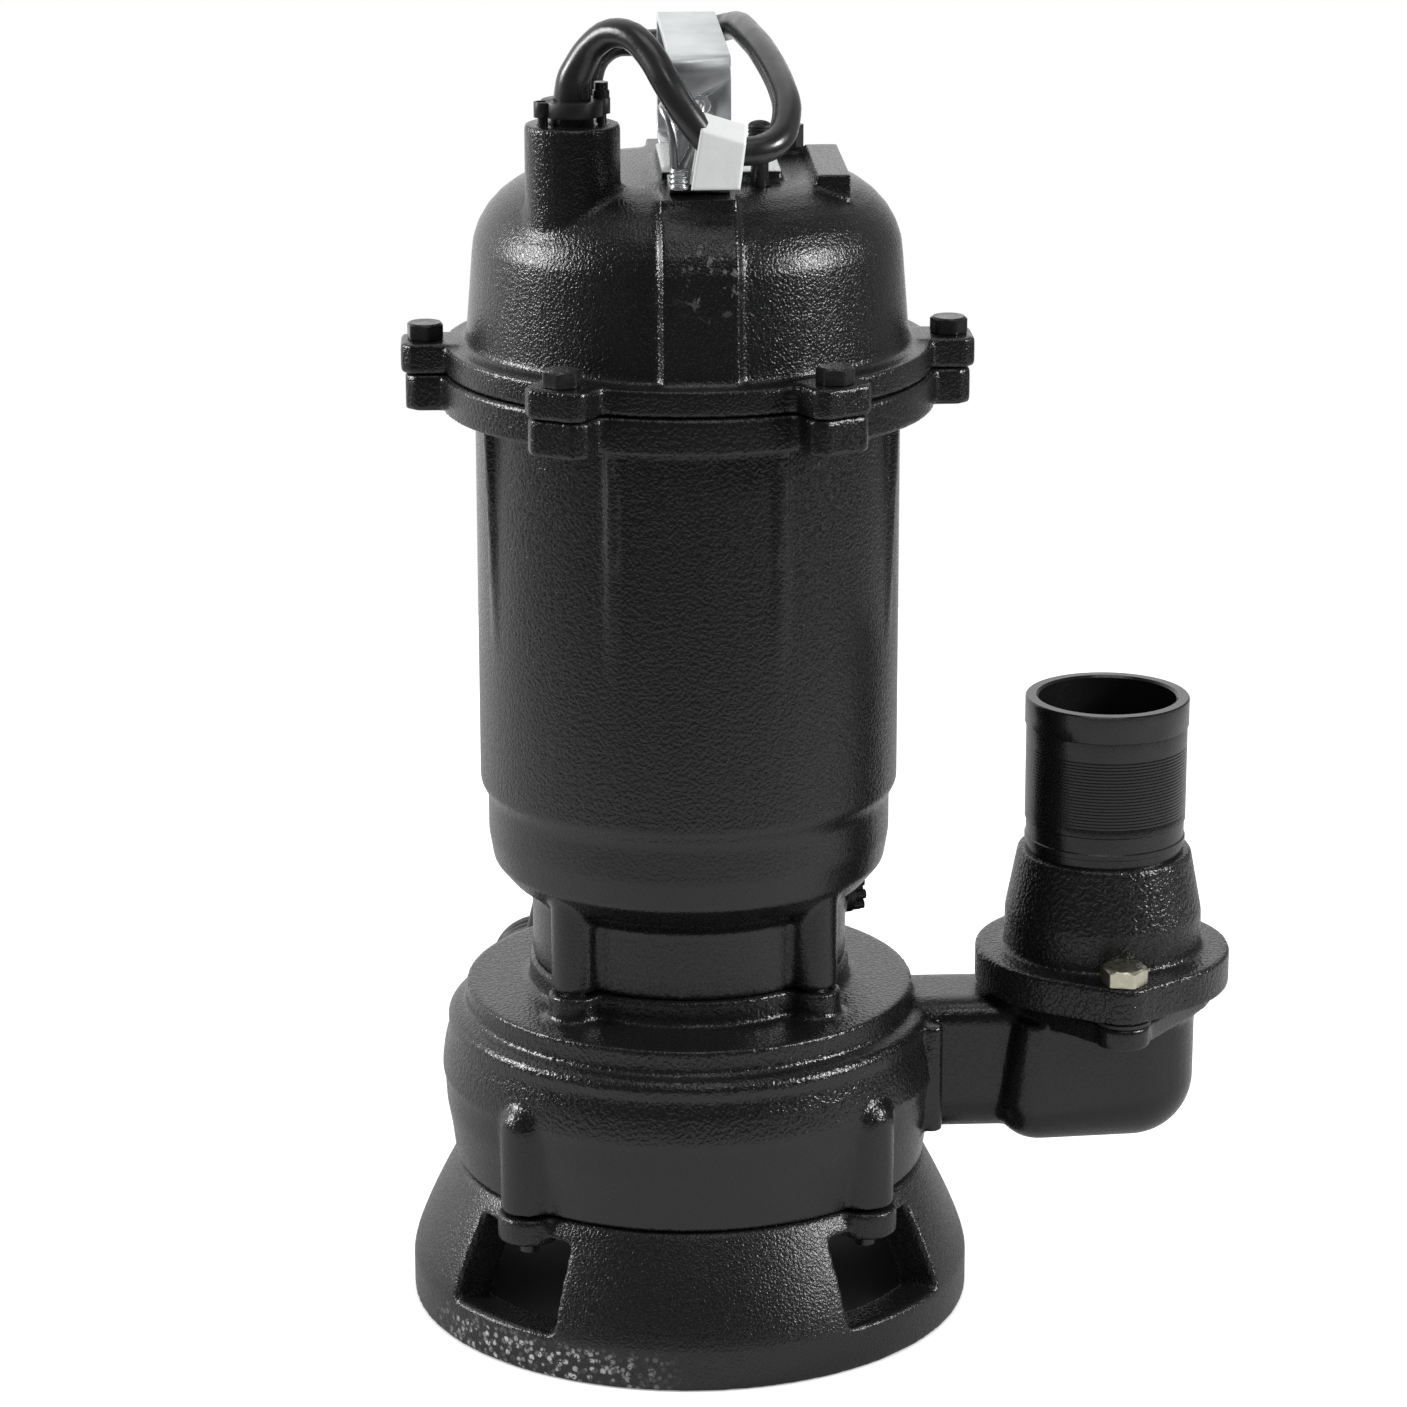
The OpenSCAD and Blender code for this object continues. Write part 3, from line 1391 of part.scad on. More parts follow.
base_stand();
base_studs();
base_seal();
volute_casing();
spigot();
spigot_gasket();
spigot_bolts();
motor_housing();
neck_bolts();
neck_seal();
oil_plug();
oil_plug_washer();
top_cover();
cover_seal();
cover_bolts();
handle();
handle_bolts();
gland_plate();
gland_screws();
gland_seal();
gland_washer();
cord_inlet();
power_cord();
cord_coil();
cord_tail();
plug_body();
plug_pins();
cord_band();
seal_wire();
seal_ferrule();
cap_stud();
stud_cap();
vent_plug();
stator_core();
stator_windings();
thermal_switch();
motor_leads();
terminal_block();
capacitor();
capacitor_clip();
bearing_bracket();
wave_washer();
upper_bearing_outer();
upper_bearing_inner();
upper_bearing_cage();
lower_bearing_outer();
lower_bearing_inner();
lower_bearing_cage();
shaft();
rotor_core();
rotor_end_rings();
lip_seal();
seal_seat();
seal_head();
seal_spring();
impeller();
impeller_key();
impeller_washer();
impeller_nut();
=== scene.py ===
"""Looks of the submersible sump pump. Points, radii and heights are millimetres about the pump's
axis, except where a comment says metres."""

import math

import bmesh
import bpy
import numpy as np
from mathutils import Matrix, Vector


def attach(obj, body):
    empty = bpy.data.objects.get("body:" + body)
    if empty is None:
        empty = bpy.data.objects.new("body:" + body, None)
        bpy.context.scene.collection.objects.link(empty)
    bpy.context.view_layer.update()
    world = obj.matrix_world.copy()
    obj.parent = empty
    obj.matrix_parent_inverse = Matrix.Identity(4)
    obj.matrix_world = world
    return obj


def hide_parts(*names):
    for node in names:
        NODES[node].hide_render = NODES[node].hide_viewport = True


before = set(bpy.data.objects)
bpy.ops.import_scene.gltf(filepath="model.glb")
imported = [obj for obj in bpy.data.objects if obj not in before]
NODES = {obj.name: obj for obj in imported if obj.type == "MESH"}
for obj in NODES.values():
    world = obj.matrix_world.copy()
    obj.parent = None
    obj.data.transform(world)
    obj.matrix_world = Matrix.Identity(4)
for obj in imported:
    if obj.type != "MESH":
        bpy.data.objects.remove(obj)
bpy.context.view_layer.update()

MM = 0.001
AXIS_X = -40.4            # where the pump's axis stands in the row frame
TURN = 2 * math.pi
BODY = "pump_body"

scene = bpy.context.scene
scene.view_settings.view_transform = "Standard"


def place(p):
    """A point in millimetres about the pump's axis, as metres in the row frame."""
    return Vector(((p[0] + AXIS_X) * MM, p[1] * MM, p[2] * MM))


def link(name, data):
    obj = bpy.data.objects.new(name, data)
    scene.collection.objects.link(obj)
    return obj


# ---------- Camera ----------

LENS = 123.08
CAMERA_AT = (-0.1043, -1.3985, 0.6007)      # metres in the row frame
CAMERA_AIM = (0.0469, 0.9581, -0.2828)
CAMERA_ROLL = math.radians(-0.096)


def make_camera():
    data = bpy.data.cameras.new("camera")
    data.lens = LENS
    data.sensor_width = 36
    data.clip_start = 0.01
    data.clip_end = 30
    camera = link("camera", data)
    camera.location = CAMERA_AT
    aim = Vector(CAMERA_AIM).to_track_quat("-Z", "Y").to_matrix().to_4x4()
    roll = Matrix.Rotation(CAMERA_ROLL, 4, "Z")
    camera.rotation_euler = (aim @ roll).to_euler()
    scene.camera = camera


make_camera()

# ---------- Node materials ----------


class Nodes:
    """A node tree with short calls for the nodes used here."""

    def __init__(self, tree):
        self.tree = tree
        tree.nodes.clear()

    def add(self, kind, **settings):
        node = self.tree.nodes.new("ShaderNode" + kind)
        for name, value in settings.items():
            setattr(node, name, value)
        return node

    def join(self, a, b):
        self.tree.links.new(a, b)

    def feed(self, value, socket):
        """Joins a socket to the input, or sets a number or colour on it."""
        if hasattr(value, "is_linked"):
            self.join(value, socket)
        elif isinstance(value, tuple) and len(value) == 3:
            socket.default_value = (*value, 1)
        else:
            socket.default_value = value

    def maths(self, operation, *values):
        node = self.add("Math", operation=operation)
        for value, socket in zip(values, node.inputs):
            self.feed(value, socket)
        return node.outputs[0]

    def ramp(self, value, low, high, out_low=0.0, out_high=1.0):
        """Goes smoothly from out_low at low to out_high at high."""
        node = self.add("MapRange", interpolation_type="SMOOTHSTEP")
        for socket, number in zip(node.inputs[1:5], (low, high, out_low, out_high)):
            socket.default_value = number
        self.feed(value, node.inputs[0])
        return node.outputs[0]


class Shader(Nodes):
    """A material on the Principled shader, with object coordinates for its patterns."""

    def __init__(self, name):
        self.material = bpy.data.materials.new(name)
        self.material.use_nodes = True
        super().__init__(self.material.node_tree)
        self.out = self.add("OutputMaterial")
        self.surface = self.add("BsdfPrincipled")
        self.join(self.surface.outputs[0], self.out.inputs["Surface"])
        self.coords = self.add("TexCoord").outputs["Object"]
        self.split = None

    def axis(self, name):
        if self.split is None:
            self.split = self.add("SeparateXYZ")
            self.join(self.coords, self.split.inputs[0])
        return self.split.outputs[name]

    def stretched(self, scale):
        node = self.add("Mapping")
        node.inputs["Scale"].default_value = scale
        self.join(self.coords, node.inputs["Vector"])
        return node.outputs[0]

    def noise(self, scale, detail=2.0, rough=0.5, vector=None):
        node = self.add("TexNoise")
        node.inputs["Scale"].default_value = scale
        node.inputs["Detail"].default_value = detail
        node.inputs["Roughness"].default_value = rough
        self.join(self.coords if vector is None else vector, node.inputs["Vector"])
        return node.outputs["Fac"]

    def cells(self, scale, output="Distance"):
        node = self.add("TexVoronoi")
        node.inputs["Scale"].default_value = scale
        self.join(self.coords, node.inputs["Vector"])
        return node.outputs[output]

    def mix(self, factor, a, b):
        node = self.add("Mix", data_type="RGBA")
        self.feed(factor, node.inputs[0])
        self.feed(a, node.inputs[6])
        self.feed(b, node.inputs[7])
        return node.outputs[2]

    def away(self, point):
        """The distance in metres from a point given about the pump's axis."""
        node = self.add("VectorMath", operation="DISTANCE")
        node.inputs[1].default_value = place(point)
        self.join(self.coords, node.inputs[0])
        return node.outputs["Value"]

    def near(self, point, radius):
        """0 from radius millimetres away from a point, and 1 within three tenths of that."""
        return self.ramp(self.away(point), radius * MM, 0.3 * radius * MM)

    def set(self, **values):
        for name, value in values.items():
            self.feed(value, self.surface.inputs[name.replace("_", " ")])
        return self

    def paint_over(self, mask, color):
        """Puts another colour on top where the mask is 1."""
        base = self.surface.inputs["Base Color"]
        self.feed(self.mix(mask, base.links[0].from_socket, color), base)

    def bump(self, height, millimetres, strength=1.0):
        node = self.add("Bump")
        node.inputs["Distance"].default_value = millimetres * MM
        self.feed(strength, node.inputs["Strength"])
        self.feed(height, node.inputs["Height"])
        self.join(node.outputs[0], self.surface.inputs["Normal"])
        return self


# ---------- Cord: one tube from the gland to the plug ----------

CORD_R = 4.2
COIL_IN_R = 36
COIL_TURNS = 3            # turns side by side in a layer
COIL_LAYERS = 4
COIL_PITCH = 9
COIL_OUT_R = COIL_IN_R + COIL_TURNS * COIL_PITCH
COIL_START_Y = 97.8       # where the cord runs into the coil's outermost turn
COIL_Y = COIL_START_Y + COIL_OUT_R
COIL_Z = 4.25
CLIMB = 0.5               # turns in which the cord climbs to the next layer
SWELL = 1.2               # how far it strays from the layer's edge in that climb
COIL_POINTS = 48          # points per turn
ROUTE_STEP = 2.5          # between points of the drawn cord outside the coil

CORD_ROUTE = [
    (-34.3, -30, 377), (-33.7, -30.8, 383.4), (-32.2, -31.6, 387), (-29.7, -33, 391.6),
    (-26.7, -35.3, 395.2), (-23.1, -38.3, 397.6), (-17.4, -43.9, 397.4), (-12.4, -49.3, 392.8),
    (-8.1, -54, 385.7), (-2.6, -56.3, 377.1), (4.2, -56.4, 368.9), (9.3, -56.4, 366.9),
    (15, -56, 366.5), (20.2, -53.8, 367.2), (24.2, -49.3, 369.4), (26.8, -37.6, 375.1),
    (26, -24, 379.8), (22.2, 3, 385.9), (19.2, 22, 387.9), (17.2, 38.5, 388.1), (14.8, 49, 386.3),
    (11.3, 52.7, 384.9), (6.4, 54.3, 383.3), (-6.4, 53.8, 380.8), (-18.6, 52.2, 381),
    (-23, 50.9, 379), (-26, 49.9, 375.4), (-27.7, 52, 364), (-24, 67.5, 341), (-16.5, 82.6, 301),
    (-15.8, 86.3, 260), (-26, 90, 160), (-43, 94.5, 92), (-52.8, 97.8, 42), (-50.5, 97.8, 27.5),
    (-43, 97.8, 15.5), (-31.5, 97.8, 7.6), (-18, 97.8, 4.25), (-8.4, 97.8, 4.25),
]
TAIL_ROUTE = [
    (-8.4, 223.8, 31.25), (-13, 223.8, 31.25), (-21, 222.5, 32.2), (-29, 219, 34.6), (-36, 213.4, 38.8),
    (-41.2, 206, 44), (-44, 198, 49), (-44.5, 187, 52.8), (-44.5, 183, 52.8),
]
WIRE_ROUTE = [
    (-5.9, -50, 360.8), (-5.9, -50, 361.6), (-6.2, -50, 366), (-6.6, -49.8, 370.4), (-7.4, -49, 374),
    (-8.7, -47, 376.6), (-9, -44.7, 377.6), (-7.8, -42.4, 378), (-3, -41.8, 378.2), (0.6, -42, 378.2),
    (1.7, -44, 378.1), (1.7, -48.6, 378), (1.4, -49.9, 375.5), (0.2, -50.1, 370.5), (-1.2, -50.1, 366),
    (-3.3, -50, 361.6), (-3.3, -50, 360.8),
]


def between(a, b, start, end, s):
    """The point at s on the straight line that is at a at start and at b at end."""
    return a + (b - a) * ((s - start) / (end - start))


def eased(route, step):
    """Points about step apart on a smooth curve through the route."""
    p = [Vector(q) for q in route]
    p = [2 * p[0] - p[1], *p, 2 * p[-1] - p[-2]]
    t = [0.0]
    for a, b in zip(p, p[1:]):
        t.append(t[-1] + math.sqrt((b - a).length))
    made = []
    for i in range(1, len(p) - 2):
        count = max(1, round((p[i + 1] - p[i]).length / step))
        for k in range(count):
            s = t[i] + (t[i + 1] - t[i]) * k / count
            a = [between(p[j], p[j + 1], t[j], t[j + 1], s) for j in (i - 1, i, i + 1)]
            b = [between(a[j], a[j + 1], t[i - 1 + j], t[i + 1 + j], s) for j in (0, 1)]
            made.append(between(b[0], b[1], t[i], t[i + 1], s))
    return made + [p[-2]]


def coil_point(t):
    """The cord's centre after t turns of the coil: in and out in turn, with half a turn to climb."""
    layer = min(COIL_LAYERS - 1, int(t / (COIL_TURNS + CLIMB)))
    s = t - layer * (COIL_TURNS + CLIMB)
    inward = layer % 2 == 0
    start, end = (COIL_OUT_R, COIL_IN_R) if inward else (COIL_IN_R, COIL_OUT_R)
    climb = max(0.0, (s - COIL_TURNS) / CLIMB)
    swell = -SWELL if inward else SWELL
    r = start + (end - start) * min(s / COIL_TURNS, 1) + swell * math.sin(math.pi * climb)
    a = TURN * t - math.pi / 2
    return Vector((r * math.cos(a), COIL_Y + r * math.sin(a), COIL_Z + (layer + climb) * COIL_PITCH))


def tube(name, points, radius, resolution):
    data = bpy.data.curves.new(name, "CURVE")
    data.dimensions = "3D"
    data.bevel_depth = radius * MM
    data.bevel_resolution = resolution
    data.use_fill_caps = True
    spline = data.splines.new("POLY")
    spline.points.add(len(points) - 1)
    for target, p in zip(spline.points, points):
        target.co = (*place(p), 1)
    spline.use_smooth = True
    return link(name, data)


def finished(obj, body, material, slot, *replaced):
    """Gives a piece its body and material, and hides the CAD nodes that it stands for. slot is not used."""
    obj.data.materials.clear()
    obj.data.materials.append(material)
    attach(obj, body)
    if replaced:
        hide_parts(*replaced)
    return obj


def cord_material():
    s = Shader("cord_rubber")
    cloud = s.noise(60, 3)
    color = s.mix(cloud, (0.010, 0.010, 0.011), (0.020, 0.020, 0.021))
    s.set(Base_Color=color, Roughness=s.ramp(s.noise(140, 4), 0.3, 0.7, 0.22, 0.34))
    return s.bump(s.noise(700, 3), 0.03).material


cord_rubber = cord_material()


def make_cord():
    turns = COIL_LAYERS * COIL_TURNS + (COIL_LAYERS - 1) * CLIMB
    coil = [coil_point(i / COIL_POINTS) for i in range(round(turns * COIL_POINTS) + 1)]
    points = eased(CORD_ROUTE, ROUTE_STEP)[:-1] + coil + eased(TAIL_ROUTE, ROUTE_STEP)
    cord = tube("mains_cord", points, CORD_R, 5)
    nodes = ("power_cord", "cord_coil", "cord_tail")
    return finished(cord, BODY, cord_rubber, "cord_rubber", *nodes)


cord = make_cord()

# ---------- Mesh helpers ----------

CREASE = math.radians(40)      # turned and hexagonal pieces keep edges sharper than this
CAST_TRIANGLES = 110000        # the most that a casting keeps


def mesh_object(name, verts, faces):
    data = bpy.data.meshes.new(name)
    data.from_pydata([place(v) for v in verts], [], faces)
    data.update()
    data.shade_smooth()
    return link(name, data)


def weld(mesh, distance=1e-6):
    work = bmesh.new()
    work.from_mesh(mesh)
    bmesh.ops.remove_doubles(work, verts=work.verts, dist=distance)
    bmesh.ops.dissolve_degenerate(work, dist=distance, edges=work.edges)
    bmesh.ops.recalc_face_normals(work, faces=work.faces)
    work.to_mesh(mesh)
    work.free()


def lathe(name, profile, at, sides, lay=None):
    """A turned piece at a point. profile is the (radius, height) pairs of a closed outline, and lay
    turns its axis from Z."""
    verts, faces = [], []
    for r, z in profile:
        for k in range(sides):
            a = TURN * k / sides
            v = Vector((r * math.cos(a), r * math.sin(a), z))
            verts.append(Vector(at) + (v if lay is None else lay @ v))
    rings = len(profile)
    for i in range(rings):
        j = (i + 1) % rings
        for k in range(sides):
            m = (k + 1) % sides
            faces.append((i * sides + k, i * sides + m, j * sides + m, j * sides + k))
    obj = mesh_object(name, verts, faces)
    weld(obj.data)
    obj.data.set_sharp_from_angle(angle=CREASE)
    return obj


def rounded(profile, radius):
    """A closed outline with each corner off its axis rounded, by up to a third of the shorter side."""
    made = []
    count = len(profile)
    steps = 2
    for i in range(count):
        before, at, after = (Vector(profile[(i + k) % count]) for k in (-1, 0, 1))
        if at.x < 1e-6:
            made.append(tuple(at))
            continue
        r = min(radius, (before - at).length / 3, (after - at).length / 3)
        a = at + (before - at).normalized() * r
        b = at + (after - at).normalized() * r
        for k in range(steps + 1):
            t = k / steps
            made.append(tuple(a.lerp(at, t).lerp(at.lerp(b, t), t)))
    return made


def apply_modifiers(obj):
    made = bpy.data.meshes.new_from_object(obj.evaluated_get(bpy.context.evaluated_depsgraph_get()))
    obj.modifiers.clear()
    obj.data = made


def neighbours(mesh):
    edges = np.empty(len(mesh.edges) * 2, np.int32)
    mesh.edges.foreach_get("vertices", edges)
    return edges[0::2], edges[1::2]


def relax(mesh, rounds, inward, outward):
    """Moves each vertex towards its neighbours' mean: outward fills hollow corners, as paint and
    casting fillets do, and inward rounds the edges that stand proud."""
    count = len(mesh.vertices)
    co = np.empty(count * 3, np.float32)
    mesh.vertices.foreach_get("co", co)
    co = co.reshape(-1, 3).astype(float)
    a, b = neighbours(mesh)
    degree = np.bincount(a, minlength=count) + np.bincount(b, minlength=count)
    for _ in range(rounds):
        mean = np.zeros_like(co)
        for k in range(3):
            mean[:, k] = np.bincount(a, co[b, k], count) + np.bincount(b, co[a, k], count)
        step = mean / degree[:, None] - co
        normals = np.empty(count * 3, np.float32)
        mesh.vertices.foreach_set("co", co.astype(np.float32).ravel())
        mesh.update()
        mesh.vertex_normals.foreach_get("vector", normals)
        out = (step * normals.reshape(-1, 3)).sum(1) > 0
        co += step * np.where(out, outward, inward)[:, None]
    mesh.vertices.foreach_set("co", co.astype(np.float32).ravel())
    mesh.update()


def cut_above(mesh, height):
    """Takes away what lies above a height in millimetres, and closes the cut."""
    work = bmesh.new()
    work.from_mesh(mesh)
    cut = bmesh.ops.bisect_plane(
        work, geom=work.verts[:] + work.edges[:] + work.faces[:], dist=1e-7,
        plane_co=(0, 0, height * MM), plane_no=(0, 0, 1), clear_outer=True,
    )
    edges = [e for e in cut["geom_cut"] if isinstance(e, bmesh.types.BMEdge)]
    bmesh.ops.triangle_fill(work, use_beauty=True, edges=edges)
    work.to_mesh(mesh)
    work.free()


def cast_copy(name, node, voxel, even, fill=8, top=None):
    """A casting: the CAD node's shape remade at a voxel size in millimetres, then smoothed in as many
    rounds as even says and filleted in as many as fill says. What lies above top is left out."""
    obj = link(name, NODES[node].data.copy())
    weld(obj.data)
    if top is not None:
        cut_above(obj.data, top)
    remesh = obj.modifiers.new("remesh", "REMESH")
    remesh.mode = "VOXEL"
    remesh.voxel_size = voxel * MM
    apply_modifiers(obj)
    relax(obj.data, even, 0.5, 0.5)
    relax(obj.data, fill, 0.12, 0.6)
    triangles = 2 * len(obj.data.polygons)
    if triangles > CAST_TRIANGLES:
        thin = obj.modifiers.new("thin", "DECIMATE")
        thin.ratio = CAST_TRIANGLES / triangles
        apply_modifiers(obj)
    obj.data.shade_smooth()
    return obj


def edged_copy(name, node, width):
    """A sheet or turned piece: the CAD node's shape with small rounded edges."""
    obj = link(name, NODES[node].data.copy())
    weld(obj.data)
    work = bmesh.new()
    work.from_mesh(obj.data)
    bmesh.ops.dissolve_limit(work, angle_limit=math.radians(1), verts=work.verts, edges=work.edges)
    work.to_mesh(obj.data)
    work.free()
    bevel = obj.modifiers.new("bevel", "BEVEL")
    bevel.width = width * MM
    bevel.segments = 2
    bevel.limit_method = "ANGLE"
    bevel.angle_limit = math.radians(35)
    bevel.harden_normals = True
    apply_modifiers(obj)
    obj.data.shade_smooth()
    return obj


def hull_faces(rings, sides, start=0):
    """Faces of a closed body made of rings of so many points each, counted from start."""
    faces = []
    for i in range(rings - 1):
        row = start + i * sides
        for k in range(sides):
            m = (k + 1) % sides
            faces.append((row + k, row + m, row + sides + m, row + sides + k))
    last = start + (rings - 1) * sides
    faces.append(tuple(last + k for k in range(sides)))
    faces.append(tuple(start + k for k in reversed(range(sides))))
    return faces


SCREW_SIDES = 72
HEAD_CORNER = 0.562       # radius of a head's softened corners, by its width across flats
HEAD_RIM = 0.47           # radius of the flat on top of a head, by its width across flats


def hex_rings(across, height):
    """Rings of a hexagon head about its own axis, from below, with its top turned to a cone."""
    rim = HEAD_RIM * across
    rings = [[], [], [], [], [], []]
    for k in range(SCREW_SIDES):
        a = TURN * k / SCREW_SIDES
        flat = (a + math.pi / 6) % (math.pi / 3) - math.pi / 6
        r = min(across / 2 / math.cos(flat), HEAD_CORNER * across)
        top = height - (r - rim) * 0.5
        steps = (
            (r - 0.25, 0), (r, 0.25), (r, top - 0.2), (r - 0.3, top), (rim, height),
            (0.6 * rim, height - 0.1),
        )
        for ring, (q, z) in zip(rings, steps):
            ring.append((q * math.cos(a), q * math.sin(a), z))
    return rings


def round_ring(r, z):
    angles = (TURN * k / SCREW_SIDES for k in range(SCREW_SIDES))
    return [(r * math.cos(a), r * math.sin(a), z) for a in angles]


def hex_screws(name, spots, across, height, shank, depth, washer=None):
    """Hexagon screws with a round shank at the spots, which are x, y and z of each head's seat. A
    washer is given as (radius, thickness)."""
    below = 0 if washer is None else washer[1]
    rings = [round_ring(shank, -depth - below), round_ring(shank, -below)]
    if washer:
        r = washer[0]
        outline = ((r - 0.3, -below), (r, 0.3 - below), (r, -0.3), (r - 0.3, 0))
        rings += [round_ring(*step) for step in outline]
    rings += hex_rings(across, height)
    verts, faces = [], []
    for n, spot in enumerate(spots):
        faces += hull_faces(len(rings), SCREW_SIDES, len(verts))
        turned = Matrix.Rotation(0.3 + 1.7 * n, 3, "Z")
        verts += [Vector(spot) + turned @ Vector(p) for ring in rings for p in ring]
    obj = mesh_object(name, verts, faces)
    obj.data.set_sharp_from_angle(angle=CREASE)
    return obj


# ---------- Materials ----------

ENAMEL_DARK = (0.005, 0.005, 0.00525)
ENAMEL_LIGHT = (0.007, 0.00725, 0.0075)


def enamel(name, grain, size, rough=(0.22, 0.36), calm=None):
    """Black enamel over a casting. grain is the height of its pebbling and size the distance from
    pebble to pebble, both in millimetres. calm gives a factor that weakens it from place to place."""
    s = Shader(name)
    s.set(
        Base_Color=s.mix(s.noise(45, 4, 0.6), ENAMEL_DARK, ENAMEL_LIGHT),
        Roughness=s.ramp(s.noise(1400 / size, 2), 0.35, 0.65, *rough),
    )
    pebble = s.ramp(s.noise(1000 / size, 1, 0.5), 0.32, 0.68)
    height = s.maths("MULTIPLY_ADD", s.noise(2400 / size, 2, 0.5), 0.5, pebble)
    return s.bump(height, grain, 1.0 if calm is None else calm(s))


def simple(name, dark, light, rough, metal=0.0, scale=200, grain=0.05, grain_scale=900, stretch=None):
    """A material that clouds from dark to light and between two roughnesses. scale is that of its
    clouds, and grain the height in millimetres of a bump of grain_scale."""
    s = Shader(name)
    vector = s.stretched(stretch) if stretch else None
    s.set(
        Base_Color=s.mix(s.noise(scale, 4, 0.6, vector), dark, light),
        Roughness=s.ramp(s.noise(scale * 1.7, 4, 0.6, vector), 0.3, 0.7, *rough),
        Metallic=metal,
    )
    return s.bump(s.noise(grain_scale, 3, 0.55, vector), grain).material


# Where the paint changes. Pairs are metres in the row frame, from one side of a soft edge to the
# other. Points and radii are millimetres about the pump's axis.
PAD_Z = (0.3549, 0.3553)          # the pad under the handle stands above this
PAD_X = (-0.056, -0.054)          # and its bare metal begins here, from the left
GRIT_Z = (0.013, 0.008)           # grit shows below this
SEAM_Z = (0.071, 0.075)           # the casing's seam
ELBOW_X = (0.028, 0.045)          # the outlet elbow lies to the right of this
HOUSING_FOOT_Z = (0.157, 0.172)   # the housing's smoother foot ends here
CHIP_AT = (5, -65, 332)
CHIP_R = 15
GRIT_AT = (-52, -72, 4)
GRIT_R = 52
CHIP_GREY = (0.10, 0.10, 0.10)
BARE_METAL = (0.62, 0.63, 0.63)
GRIT_DARK = (0.04, 0.04, 0.04)
GRIT_LIGHT = (0.5, 0.5, 0.5)


def cover_enamel():
    """The cover's paint is chipped low on its pilaster and missing on the pad under the handle."""
    s = enamel("enamel_cover", 0.08, 0.8, (0.2, 0.32))
    flakes = s.ramp(s.noise(420, 3, 0.7), 0.56, 0.64)
    s.paint_over(s.maths("MULTIPLY", s.near(CHIP_AT, CHIP_R), flakes), CHIP_GREY)
    pad = s.maths("MULTIPLY", s.ramp(s.axis("Z"), *PAD_Z), s.ramp(s.axis("X"), *PAD_X))
    s.paint_over(pad, BARE_METAL)
    return s.material


def stand_enamel():
    """The stand's paint is rubbed to grit low down at its front left."""
    s = enamel("enamel_stand", 0.08, 0.8, (0.24, 0.38))
    speck = s.ramp(s.cells(520), 0.62, 0.3)
    ragged = s.maths("MULTIPLY", speck, s.ramp(s.noise(1100, 2, 0.6), 0.38, 0.5))
    here = s.maths("MULTIPLY", s.ramp(s.axis("Z"), *GRIT_Z), s.near(GRIT_AT, GRIT_R))
    grain = s.ramp(s.cells(520, "Color"), 0.2, 0.85)
    s.paint_over(s.maths("MULTIPLY", here, ragged), s.mix(grain, GRIT_DARK, GRIT_LIGHT))
    return s.material


def casing_calm(s):
    """The casing is smooth below its seam and on the outlet elbow."""
    above = s.ramp(s.axis("Z"), *SEAM_Z, 0.3, 1.0)
    return s.maths("MULTIPLY", above, s.ramp(s.axis("X"), *ELBOW_X, 1.0, 0.3))


def housing_calm(s):
    """The housing is a little smoother at its foot."""
    return s.ramp(s.axis("Z"), *HOUSING_FOOT_Z, 0.45, 1.0)


cover_paint = cover_enamel()
stand_paint = stand_enamel()
housing_paint = enamel("enamel_housing", 0.08, 1.05, calm=housing_calm).material
casing_paint = enamel("enamel_casing", 0.10, 1.2, (0.2, 0.34), calm=casing_calm).material
cone_paint = enamel("enamel_outlet", 0.14, 1.2).material
barrel_paint = enamel("enamel_spigot", 0.012, 1.1, (0.2, 0.28)).material
rubber = simple("rubber", (0.010, 0.010, 0.010), (0.020, 0.020, 0.020), (0.45, 0.62))
plastic = simple("gland_plastic", (0.008, 0.008, 0.009), (0.016, 0.016, 0.017), (0.32, 0.5), scale=120)
galvanised = simple("galvanised", (0.46, 0.48, 0.49), (0.74, 0.76, 0.77), (0.34, 0.48), 1.0, 60, 0.004, 300)
zinc = simple("zinc_plating", (0.5, 0.48, 0.36), (0.72, 0.7, 0.58), (0.25, 0.4), 1.0, 300, 0.03)
steel = simple("bare_steel", (0.42, 0.42, 0.43), (0.6, 0.6, 0.61), (0.25, 0.42), 1.0, 150, 0.02)
grey_iron = simple("grey_iron", (0.12, 0.12, 0.12), (0.2, 0.2, 0.2), (0.5, 0.7), 0.6, 200, 0.15, 600)
laminated = simple(
    "laminations", (0.25, 0.25, 0.26), (0.42, 0.42, 0.43), (0.35, 0.5), 1.0, 300, 0.1, 400,
    stretch=(0.05, 0.05, 5),
)
copper = simple("copper_wire", (0.42, 0.16, 0.06), (0.65, 0.28, 0.12), (0.3, 0.45), 0.8, 300, 0.25, 700)
brass = simple("bearing_brass", (0.5, 0.36, 0.12), (0.68, 0.5, 0.2), (0.25, 0.4), 1.0, 200, 0.03)
ceramic = simple("ceramic", (0.62, 0.6, 0.55), (0.75, 0.73, 0.68), (0.15, 0.3), 0.0, 100, 0.01)
aluminium = simple("aluminium", (0.6, 0.6, 0.61), (0.75, 0.75, 0.76), (0.3, 0.45), 1.0, 150, 0.05)
tape = simple("white_tape", (0.66, 0.67, 0.67), (0.76, 0.77, 0.77), (0.24, 0.36), 0.0, 150, 0.25, 90)
black_screw = simple("black_screw", (0.008, 0.008, 0.008), (0.018, 0.018, 0.019), (0.2, 0.36), 0.0, 300, 0.08)

# ---------- Castings ----------

CONE_TOP = 140.5
SPIGOT = (127.8, 0)
OUTLET_TURN = math.radians(3)
GROOVES = 22
GROOVES_TOP = 174.4
GROOVE_PITCH = 1.0
GROOVE_DEPTH = 0.06

